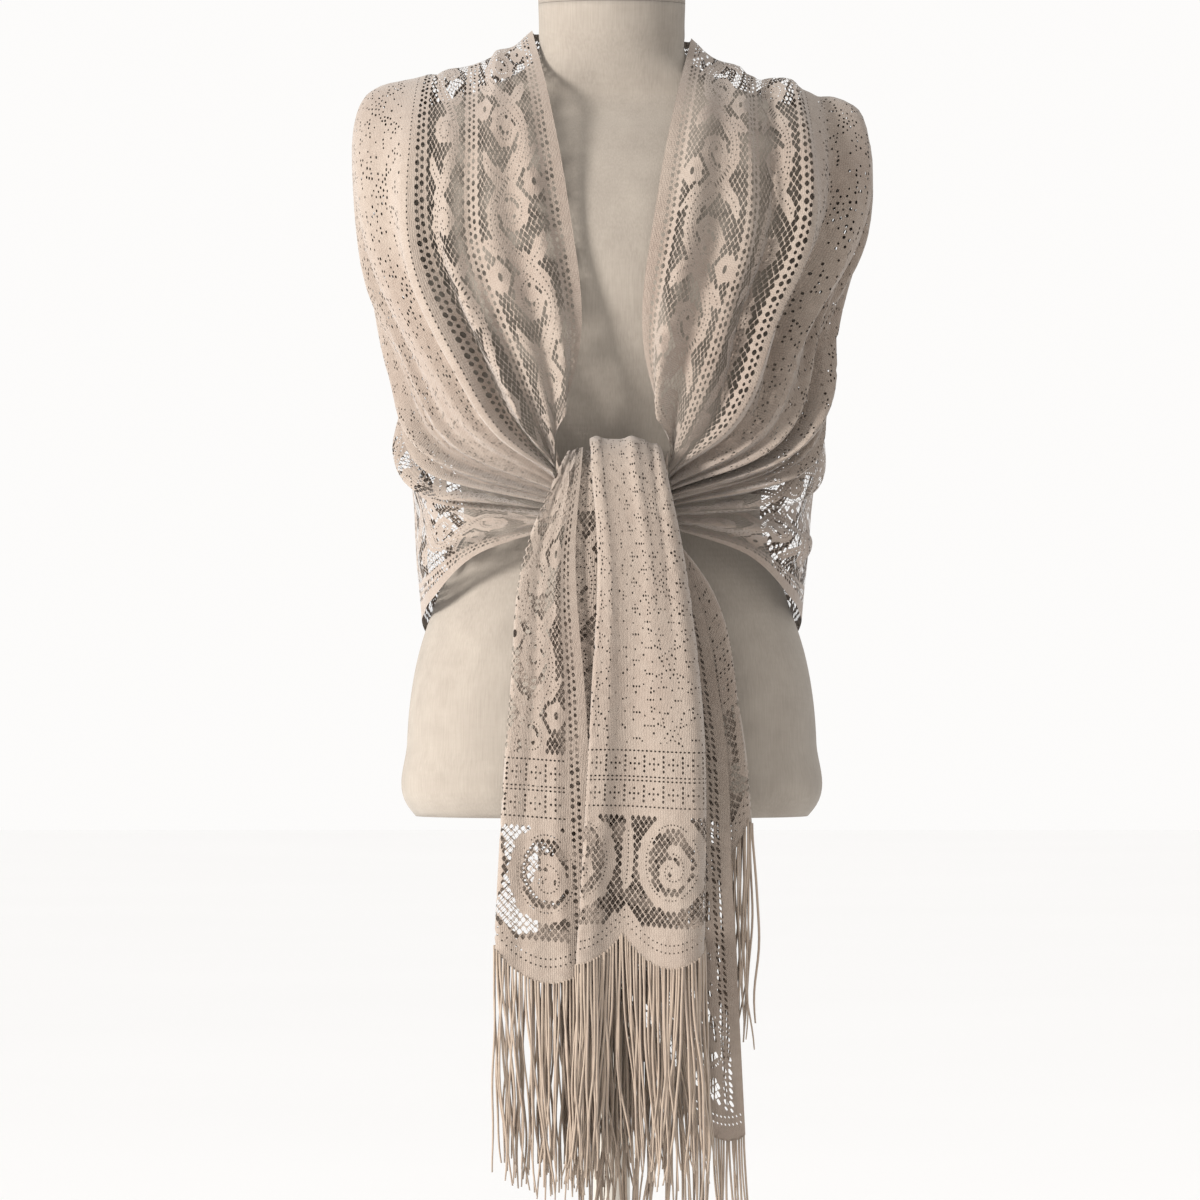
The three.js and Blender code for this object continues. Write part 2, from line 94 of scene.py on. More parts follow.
# Sharper creases that only the fine cloth has, in the same columns.
CREASES = [
    (-1, 0.70, 0.69, 0.55, 1.06, -4, 0.012), (-1, 0.755, 0.74, 0.5, 1.06, -4.5, 0.013),
    (-1, 0.5, 0.55, 0.66, 1.06, -3.5, 0.014), (-1, 0.42, 0.47, 0.6, 1.05, 3, 0.02),
    (-1, 0.22, 0.3, 0.62, 1.04, -3, 0.012), (-1, 0.165, 0.25, 0.68, 1.04, 3, 0.012),
    (-1, 0.9, 0.9, 0.52, 1.0, 3, 0.014), (-1, 0.2, 0.27, 0.2, 0.5, -2.5, 0.014),
    (1, 0.19, 0.26, 0.36, 1.05, -5, 0.013), (1, 0.31, 0.385, 0.36, 1.05, -5.5, 0.013),
    (1, 0.44, 0.52, 0.44, 1.05, -5.5, 0.013), (1, 0.565, 0.655, 0.5, 1.05, -6, 0.013),
    (1, 0.7, 0.765, 0.5, 1.05, -5, 0.013), (1, 0.35, 0.43, 0.5, 0.96, 2.5, 0.008),
    (1, 0.48, 0.575, 0.55, 1.0, 2.5, 0.008), (1, 0.93, 0.92, 0.55, 1.0, 2.5, 0.014),
    (-1, 0.45, 0.62, 0.03, 0.4, -3.5, 0.02), (-1, 0.26, 0.38, 0.05, 0.4, -3, 0.018),
    (1, 0.22, 0.33, 0.04, 0.4, -3.5, 0.018), (1, 0.38, 0.52, 0.03, 0.38, -3, 0.02),
    (1, 0.7, 0.8, 0.06, 0.44, -3, 0.022), (-1, 0.72, 0.78, 0.06, 0.46, 3, 0.03),
]
CREASE_DEPTH = 1.5  # scales the heights of CREASES
# How far the outline is drawn in on each side: by how much, around which height and over how much of it.
DRAWN_IN_LEFT, DRAWN_IN_RIGHT = (10, 1150, 60), (22, 1200, 68)
DRAWN_IN_FROM, DRAWN_IN_TO = 60, 160
GATHER_PLEATS, GATHER_HEIGHT, GATHER_FROM = 5, 4.5, 0.8
CLEAR_FROM, CLEAR_TO = 0.86, 0.98  # how far round the stretches draw apart to pass the knot
FINE_PLEATS, FINE_HEIGHT, FINE_FROM, FINE_GROWTH = 11, 7.2, 0.45, 0.34
RUMPLE = 0.8  # height of the slight unevenness all over the wrap
# The fine cloth's folds are higher, and steeper on the lower side: scales of their height and widths.
FOLD_RISE, FOLD_ABOVE, FOLD_BELOW = 1.3, 1.25, 0.55

# ---- the tails ----
# A turn has how far across it lies, x at each level, depth of the run that starts there, and drop of its end.
FRONT_TAIL = {
    "levels": [0, 75, 200, 425], "spread": [0.5, 0.9, 1, 1.15], "end": 708, "slant": 0,
    "turns": [
        (0, (-23, -29, -21, -8), 10, 14), (0.143, (-36, -68, -82, -96), 4, 6), (0.27, (-2, 0, 0, -6), 16, 0),
        (0.357, (-18, -12, -17, -30), 22, -4), (0.56, (40, 56, 72, 74), -3, 0),
        (0.78, (-20, -40, -55, -60), -9, -10), (1, (30, 45, 58, 62), -9, -20),
    ],
    "trough": (0.429, 0.04, (1, 1, 6, 10)),
}
REAR_TAIL = {
    "levels": [0, 40, 150, 300, 510], "spread": [0.5, 0.7, 0.9, 1, 1], "end": 548, "slant": 440,
    "turns": [
        (0, (40, 62, 88, 97, 108), 14, 0), (0.28, (-34, -44, -48, -42, -24), 7, 0),
        (0.58, (42, 74, 103, 115, 118), 0, 0), (0.8, (-24, -26, -22, 0, 0), -6, 0),
        (1, (30, 50, 68, 78, 80), -6, 0),
    ],
    "trough": (0.1, 0.03, (0, 0, 2, 3, 3)),
}
# Soft ripples down a tail: how far across, width, depth at the top and at the end, and length of its wander.
FRONT_RIPPLES = [(0.05, 0.012, 1.5, 3, 90), (0.10, 0.01, -1.5, -2, 130), (0.215, 0.012, -2, -2, 110),
                 (0.385, 0.012, 2.5, 2, 150), (0.47, 0.014, 3, -2.5, 120), (0.515, 0.01, -2.5, 2, 140),
                 (0.66, 0.02, 2, 2, 120), (0.9, 0.02, -2, 2, 120)]
REAR_RIPPLES = [(0.05, 0.012, 2, 3, 120), (0.17, 0.014, -2, -3, 150), (0.23, 0.012, 2, 2, 90),
                (0.38, 0.016, -2, 2.5, 130), (0.5, 0.014, 2, -2.5, 110), (0.7, 0.02, 2, 2, 120)]
LEAST_TURN = 0.008  # least half share of the width that a turn takes
FRONT_TAIL_Y = -158
REAR_TAIL_Y = -122
WRAP_RADIUS = KNOT_Y - FRONT_TAIL_Y
WRAP_START = 160
REAR_TAIL_TOP = 1035.3
# The knot from left to right: how far along its half length, middle height, half height and half depth.
KNOT_SECTIONS = [(-1, 1067, 30, 9), (-0.915, 1061, 25.5, 12), (0, 1062, 26.3, 16), (0.915, 1061, 25.5, 12),
                 (1, 1067, 30, 9)]
FRONT_TAIL_LENGTH = 461  # flat, from where it leaves the knot to the valleys of its scallops
OVER_KNOT = 100  # of which this much lies over the knot

# ---- the dress form ----
RINGS = [  # height, half width, reach to the front and to the back
    (800, 160, 96, 108), (806, 165, 100, 112), (860, 167, 105, 115), (930, 158, 103, 110), (985, 140, 96, 97),
    (1040, 121, 84, 80), (1100, 132, 90, 84), (1160, 150, 100, 92), (1220, 165, 106, 100),
    (1270, 175, 100, 102), (1315, 187, 82, 97), (1342, 193, 66, 89), (1359, 187, 54, 76), (1371, 169, 43, 64),
    (1380, 146, 37, 56), (1387, 122, 34, 53), (1394, 101, 35, 53), (1405, 78, 38, 54), (1420, 61.2, 42, 56),
    (1438, 59.6, 48, 58), (NECK_SEAM, 60, 49, 58),
]
NECK_RINGS = [(NECK_SEAM + SEAM, 60, 49, 58), (1494, 59, 48, 57), (1499, 56, 45, 54), (1500, 52, 41, 50)]
BODY_SQUARENESS, NECK_SQUARENESS, NECK_FROM, NECK_TO = 2.4, 2.05, 1385, 1425
BUST_X, BUST_Z, BUST_REACH, BUST_WIDTH, BUST_HEIGHT = 84, 1222, 12, 46, 52


# ---- curves ----
def ease(x):
    s = np.clip(x, 0, 1)
    return s * s * (3 - 2 * s)


def curve(keys, values, x):
    """A smooth curve through values at keys. values may have a column of its own for each x."""
    keys = np.asarray(keys, float)
    values = np.asarray(values, float)
    at = np.clip(np.asarray(x, float), keys[0], keys[-1])
    i = np.clip(np.searchsorted(keys, at, side="left") - 1, 0, len(keys) - 2)
    steps = np.diff(keys)
    rises = np.diff(values, axis=0) / (steps if values.ndim == 1 else steps[:, None])
    share = steps[1:] / (steps[1:] + steps[:-1])
    if values.ndim > 1:
        share = share[:, None]
    slopes = np.concatenate([rises[:1], rises[:-1] * share + rises[1:] * (1 - share), rises[-1:]])
    column = None if values.ndim == 1 else np.arange(values.shape[1])

    def pick(table, k):
        return table[k] if column is None else table[k, column]

    span = steps[i]
    t = (at - keys[i]) / span
    a, b = pick(values, i), pick(values, i + 1)
    p, q = pick(slopes, i) * span, pick(slopes, i + 1) * span
    return a + t * (p + t * (3 * (b - a) - 2 * p - q + t * (2 * (a - b) + p + q)))


def at_station(rows, place):
    """The other columns of a table where its first column reaches place."""
    rows = np.array(rows, float)
    return curve(rows[:, 0], rows[:, 1:], np.full(rows.shape[1] - 1, place))


def normals_of(point, u, v, small=0.002):
    """Unit normals of the surface point(u, v)."""
    along = point(u + small, v) - point(u - small, v)
    over = point(u, v + small) - point(u, v - small)
    normal = np.cross(along, over)
    return normal / np.linalg.norm(normal, axis=1, keepdims=True)


# ---- the wrap's surface ----
ROUND = [-r for r in list(SECTIONS)[:0:-1]] + list(SECTIONS)
GUIDES = np.array([[(-x, y, z) for x, y, z in SECTIONS[r]] for r in list(SECTIONS)[:0:-1]]
                  + [SECTIONS[r] for r in SECTIONS], float)


def plain_wrap(round_, across):
    axes = []
    for axis in range(3):
        table = np.array([curve(ROUND, GUIDES[:, k, axis], round_) for k in range(len(ACROSS))])
        axes.append(curve(ACROSS, table, across))
    x, y, z = axes
    by, middle, height = (np.where(x < 0, a, b) for a, b in zip(DRAWN_IN_LEFT, DRAWN_IN_RIGHT))
    outer = ease((np.abs(x) - DRAWN_IN_FROM) / (DRAWN_IN_TO - DRAWN_IN_FROM))
    drawn = by * outer * np.exp(-((z - middle) / height) ** 2)
    return np.stack([x - np.sign(x) * drawn, y, z - LEAN * x * (1 - across)], 1)


def fold_height(round_, across):
    """How far the folds, the creases and the gathers lift the cloth off its plain surface."""
    far, side = np.abs(round_), np.sign(round_)
    lift = GATHER_HEIGHT * ease((far - GATHER_FROM) / (1 - GATHER_FROM)) * np.sin(
        2 * math.pi * GATHER_PLEATS * across + side)
    tables = (FOLDS, FOLD_RISE, FOLD_ABOVE, FOLD_BELOW), (CREASES, CREASE_DEPTH, 1, 1)
    for table, rise, above, below in tables:
        for s, start, end, near, away, height, width in table:
            along = (far - near) / (away - near)
            off = across - (start + (end - start) * along)
            off = off / np.where(off < 0, above, below)
            wave = rise * height * np.sin(math.pi * np.clip(along, 0, 1)) * np.exp(-(off / width) ** 2)
            lift += np.where(side == s, wave, 0)
    # The fine pleats grow towards the knot, and are uneven in their spacing and height.
    grow = ease((far - FINE_FROM) / FINE_GROWTH) * (1 - 0.35 * ease((far - 0.9) / 0.1))
    wave = np.sin(2 * math.pi * FINE_PLEATS * across + 1.7 * side + 1.6 * np.sin(9 * across + side))
    uneven = 0.75 + 0.35 * np.sin(13 * across + 2 * side) + 0.2 * np.sin(29 * across)
    lift += FINE_HEIGHT * grow * uneven * (0.7 + wave)
    lift += RUMPLE * np.sin(17 * round_ + 31 * across) * np.sin(23 * across - 9 * round_)
    return lift


def wrap(round_, across):
    inside = np.clip(across, 0.002, 0.998)
    lift = fold_height(round_, across) * ease(across / 0.05) * ease((1 - across) / 0.05)
    points = plain_wrap(round_, across)
    points += normals_of(plain_wrap, np.clip(round_, -0.997, 0.997), inside) * lift[:, None]
    least = KNOT_X * ease((np.abs(round_) - CLEAR_FROM) / (CLEAR_TO - CLEAR_FROM))
    points[:, 0] = np.where(np.abs(points[:, 0]) < least, np.sign(round_) * least, points[:, 0])
    return points


# ---- a tail's surface ----
def turn_halves(tail):
    """Half of what each turn takes of the width: the cloth that goes round it."""
    depths = [turn[2] for turn in tail["turns"]]
    return [0] + [max(LEAST_TURN, math.pi / 4 * abs(b - a) / WIDTH) for a, b in zip(depths, depths[1:])]


def pleated(tail, across, level):
    """x across the body and depth forward of a pleated section, at a level below the top."""
    def at(values):
        return curve(tail["levels"], values, level)

    spread = at(tail["spread"])
    turns = tail["turns"]
    last = len(turns) - 1
    xs = [at(turn[1]) for turn in turns]
    depths = [turn[2] * spread for turn in turns]
    inner = [0 < k < last for k in range(last + 1)]
    rises = [(depths[k] - depths[k - 1]) / 2 if inner[k] else 0 * spread for k in range(last + 1)]
    sides = [0 * spread] + [np.sign(xs[k] - xs[k - 1]) for k in range(1, last + 1)]
    edges = [xs[k] - sides[k] * np.abs(rises[k]) for k in range(last + 1)]
    halves = turn_halves(tail)
    x, depth = xs[0].copy(), depths[0].copy()
    middle, width, deep = tail["trough"]
    dip = at(deep) * np.exp(-((across - middle) / width) ** 2)
    for k in range(last):
        low = turns[k][0] + (halves[k] if inner[k] else 0)
        high = turns[k + 1][0] - (halves[k + 1] if inner[k + 1] else 0)
        here = (across >= low) if k == last - 1 else (across >= low) & (across <= high)
        share = (across - low) / (high - low)
        x = np.where(here, edges[k] + (edges[k + 1] - edges[k]) * share, x)
        depth = np.where(here, depths[k] - dip, depth)
    for k in range(1, last):
        near = np.abs(across - turns[k][0]) < halves[k]
        angle = (across - turns[k][0]) / halves[k] * (math.pi / 2)
        x = np.where(near, edges[k] + sides[k] * np.abs(rises[k]) * np.cos(angle), x)
        depth = np.where(near, depths[k] - rises[k] + rises[k] * np.sin(angle), depth)
    return x, depth


def valley_line(tail, across):
    """The height of the end of a tail without its scallops."""
    drops = [turn[3] for turn in tail["turns"]]
    return tail["end"] + tail["slant"] * across - curve([turn[0] for turn in tail["turns"]], drops, across)


def ripple(ripples, across, share, distance):
    lift = 0 * across
    for k, (middle, width, top, end, wander) in enumerate(ripples):
        place = middle + 0.006 * np.sin(distance / wander * 2 + 1.3 * k)
        lift += (top + (end - top) * share) * np.exp(-((across - place) / width) ** 2)
    return lift


def front_tail(across, from_end):
    """from_end: flat distance from the valleys of the scallops, below zero in a scallop."""
    run = FRONT_TAIL_LENGTH - from_end
    angle = np.radians(WRAP_START * (1 - np.clip(run, 0, OVER_KNOT) / OVER_KNOT))
    over = run < OVER_KNOT
    low = valley_line(FRONT_TAIL, across)
    z = KNOT_Z + (low - KNOT_Z) * (run - OVER_KNOT) / (FRONT_TAIL_LENGTH - OVER_KNOT)
    level = np.where(over, np.where(angle < math.pi / 2, WRAP_RADIUS * (1 - np.sin(angle)), 0),
                     WRAP_RADIUS + KNOT_Z - z)
    x, depth = pleated(FRONT_TAIL, across, level)
    share = np.clip((run - OVER_KNOT) / (FRONT_TAIL_LENGTH - OVER_KNOT), 0, 1)
    depth = depth + ripple(FRONT_RIPPLES, across, share, run) * ease(run / 70)
    rounding = 4.5 * ease((np.abs(x - 2) - 16) / 24) * (1 - ease((run - 50) / 70))
    radius = WRAP_RADIUS + depth - rounding
    y = np.where(over, KNOT_Y - radius * np.cos(angle), KNOT_Y - radius)
    z = np.where(over, KNOT_Z + radius * np.sin(angle), z)
    return np.stack([x, y, z], 1)


def rear_tail(across, from_end):
    low = valley_line(REAR_TAIL, across)
    z = low + from_end
    down = np.clip((REAR_TAIL_TOP - z) / (REAR_TAIL_TOP - low), 0, 1.1)
    x, depth = pleated(REAR_TAIL, across, REAR_TAIL_TOP - z)
    depth = depth + ripple(REAR_RIPPLES, across, np.clip(down, 0, 1), z) * ease(down * 3)
    return np.stack([x, REAR_TAIL_Y - depth - 8 * (1 - ease(down * 4)), z], 1)


def front_top(across):
    return np.full(len(across), float(FRONT_TAIL_LENGTH))


def rear_top(across):
    return REAR_TAIL_TOP - valley_line(REAR_TAIL, across)


def scallop(across):
    return -SCALLOP_DEPTH * np.abs(np.sin(math.pi * SCALLOPS * across)) ** 0.8


# ---- the lace, drawn flat: along the shawl's length and across its width ----
WIDTH = 600
REPEAT = 125
HALF_WRAP = 520  # flat, from mid-back to the knot
LADDERS = [(8, 22), (94, 108), (156, 168)]
NETS = [(22, 94), (108, 156)]
FIELD_FROM = 168
CELL_ALONG, CELL_ACROSS = 6.25, 5.2
HOLE_ALONG, HOLE_ACROSS = 2.52, 2.05  # half sizes of a hole in the net
PIN, PIN_GAP = 0.8, 2.7  # radius of a pinhole, and the least step between two
EDGE_CORD = 0.6  # solid edge left round a scroll
SMALLEST_HOLE = 2.2  # area of the least hole of the net
BORDER_NET_END, BORDER_END = 97, 150  # how far in the end border's net and its blocks reach
BLOCK_ROWS, BLOCK_PITCH, BORDER_MARGIN = (104, 128), 19, 24
SLIT, BLOCK_HOLE = (0.75, 2.7), (3.2, 2.1)  # half sizes of a scroll's slit and of the hole in a block
CLEAR_OF_SCROLL = 1.1  # least distance of a net hole's middle from a scroll
STITCH_SCATTER = 0.16  # unevenness of the net
CROSS = np.array([(0, 0), (1, 0), (-1, 0), (0, 1), (0, -1)], float)
MARGIN = 0.7  # solid cloth left along every edge
LADDER_STOP = 24  # how far from a scallop's edge a ladder stops


def level(p, q):
    """Points at the distances p along, all at the distance q across."""
    return np.stack([p, np.full(len(p), float(q))], 1)


class Stroke:
    """A solid scroll in a net: its middle line, half width and the dotted lines worked in it."""

    def __init__(self, points, half, dots=(), ribs=None):
        self.points = np.asarray(points, float)
        self.half = np.broadcast_to(np.asarray(half, float), len(self.points)).copy()
        self.dots = dots
        self.ribs = ribs


def vine(height, swing, half, ribs):
    p = np.linspace(0, REPEAT, 101)
    q = height / 2 + swing * np.sin(2 * math.pi * p / REPEAT)
    width = half * (1 + 0.25 * np.cos(4 * math.pi * p / REPEAT))
    return Stroke(np.stack([p, q], 1), width, dots=(-1, 1), ribs=ribs)


def volute(centre, radius, start, hand, turns=1.35, half=3.6):
    t = np.linspace(0, 1, 60)
    angle = math.radians(start) + hand * 2 * math.pi * turns * t
    reach = radius * (1 - 0.86 * t)
    points = np.stack([centre[0] + reach * np.cos(angle), centre[1] + reach * np.sin(angle)], 1)
    return Stroke(points, half * (1 - 0.4 * t) + 1.5 * ease((t - 0.85) / 0.15), dots=(hand,))


def leaf(start, bend, end, half):
    t = np.linspace(0, 1, 24)[:, None]
    a, b, c = (np.array(corner, float) for corner in (start, bend, end))
    points = (1 - t) ** 2 * a + 2 * t * (1 - t) * b + t * t * c
    return Stroke(points, half * np.sin(math.pi * np.clip(t[:, 0] * 0.9 + 0.08, 0, 1)) ** 0.7, dots=(0,))


def block(centre, size):
    t = np.linspace(-1, 1, 15)
    return Stroke(level(centre[0] + size * t, centre[1]), size * (1 - np.abs(t)) + 0.4)


WIDE_SCROLL = [
    vine(72, 20, 4.8, ribs=(0.34, 0.5)),
    volute((37, 37), 19.5, 108, -1, half=4.2), volute((99.5, 35), 19.5, 252, 1, half=4.2),
    leaf((60, 38), (66, 58), (80, 62), 4.4), leaf((122, 34), (128, 14), (143, 10), 4.4),
    leaf((8, 44), (10, 58), (20, 66), 3.2), leaf((70, 28), (72, 14), (84, 6), 3.2),
    block((56, 11), 8.5), block((118.5, 61), 8.5),
]
NARROW_SCROLL = [
    vine(48, 12, 3.8, ribs=(0.84, 1.0)),
    volute((36, 24), 12.5, 106, -1, half=3.2), volute((98, 24), 12.5, 254, 1, half=3.2),
    leaf((62, 26), (66, 38), (78, 41), 3.2), leaf((124, 22), (128, 10), (140, 7), 3.2),
]
WIDE_BLOCK_HOLES = [(56, 11), (118.5, 61)]


def repeated(strokes):
    """The middle points of the strokes of one repeat and of its neighbours, with their half widths."""
    points = np.concatenate([s.points + (k * REPEAT, 0) for s in strokes for k in (-1, 0, 1)])
    half = np.concatenate([s.half for s in strokes for _ in (-1, 0, 1)])
    return points, half


def depth_in(points, middles, half):
    """How deep each point lies inside the strokes, below zero outside."""
    deep = np.empty(len(points))
    for start in range(0, len(points), 4000):
        some = points[start:start + 4000]
        gaps = np.linalg.norm(some[:, None, :] - middles[None, :, :], axis=2)
        deep[start:start + 4000] = (half[None, :] - gaps).max(axis=1)
    return deep


def pared(cells, outlines, middles, half, shift):
    """The holes with what lies in the strokes pared off their outlines, moved back by shift."""
    sides = outlines.shape[1]
    flat = outlines.reshape(-1, 2).copy()
    for start in range(0, len(flat), 4000):
        some = flat[start:start + 4000]
        away = some[:, None, :] - middles[None]
        gaps = np.linalg.norm(away, axis=2)
        nearest = (half[None] - gaps).argmax(axis=1)
        gap = gaps[np.arange(len(some)), nearest]
        need = half[nearest] + EDGE_CORD
        way = away[np.arange(len(some)), nearest] / np.maximum(gap, 1e-6)[:, None]
        moved = middles[nearest] + way * need[:, None]
        flat[start:start + 4000] = np.where((gap < need)[:, None], moved, some)
    outlines = flat.reshape(-1, sides, 2)
    x, y = outlines[..., 0], outlines[..., 1]
    area = (x * np.roll(y, -1, 1) - y * np.roll(x, -1, 1)).sum(axis=1) / 2
    large = area > SMALLEST_HOLE
    return cells[large], (outlines - shift)[large]


def ring_of(centres, along, across, sides, turn=0.0, power=2.0):
    """A closed outline round each centre, from its half sizes: power 2 is an ellipse and 1 a diamond."""
    angles = 2 * math.pi * np.arange(sides) / sides
    unit = np.stack([np.cos(angles), np.sin(angles)], 1)
    unit = np.sign(unit) * np.abs(unit) ** (2 / power) * (along, across)
    c, s = math.cos(turn), math.sin(turn)
    unit = unit @ np.array([[c, s], [-s, c]])
    return np.asarray(centres, float)[:, None, :] + unit[None, :, :]


def grid(p0, p1, step_p, q0, q1, step_q, staggered):
    """Points at even steps along, from p0 to p1, and at step_q across, centred between q0 and q1."""
    rows = int(math.floor((q1 - q0) / step_q + 1e-6))
    first = q0 + ((q1 - q0) - (rows - 1) * step_q) / 2
    found = []
    for row in range(rows):
        shift = step_p / 2 if staggered and row % 2 else 0
        k0, k1 = math.ceil((p0 - shift) / step_p), math.floor((p1 - shift) / step_p)
        found.append(level(np.arange(k0, k1 + 1) * step_p + shift, first + row * step_q))
    return np.concatenate(found)


def along_path(points, spacing):
    """Evenly spaced points on a path, with the unit direction there."""
    steps = np.linalg.norm(np.diff(points, axis=0), axis=1)
    run = np.concatenate([[0], np.cumsum(steps)])
    at = np.arange(spacing / 2, run[-1], spacing)
    place = np.stack([np.interp(at, run, points[:, k]) for k in (0, 1)], 1)
    ahead = np.stack([np.interp(at + 0.5, run, points[:, k]) for k in (0, 1)], 1)
    behind = np.stack([np.interp(at - 0.5, run, points[:, k]) for k in (0, 1)], 1)
    way = ahead - behind
    way /= np.maximum(np.linalg.norm(way, axis=1, keepdims=True), 1e-9)
    return place, way, at / run[-1]


def stitched(strokes):
    """The pinholes of the strokes' dotted lines, the slits of their ribbed stretches, and their turns."""
    pins, slits, way = [], [np.empty((0, 2))], [np.empty(0)]
    for stroke in strokes:
        place, ahead, share = along_path(stroke.points, 3.5)
        width = np.interp(share, np.linspace(0, 1, len(stroke.half)), stroke.half)
        side = np.stack([-ahead[:, 1], ahead[:, 0]], 1)
        ribbed = np.zeros(len(place), bool)
        if stroke.ribs:
            ribbed = (share > stroke.ribs[0]) & (share < stroke.ribs[1])
            slits.append(place[ribbed])
            way.append(np.arctan2(ahead[ribbed, 1], ahead[ribbed, 0]))
        for hand in stroke.dots:
            pins.append((place + side * (hand * np.maximum(width - 1.5, 0))[:, None])[~ribbed])
    return np.concatenate(pins), np.concatenate(slits), np.concatenate(way)


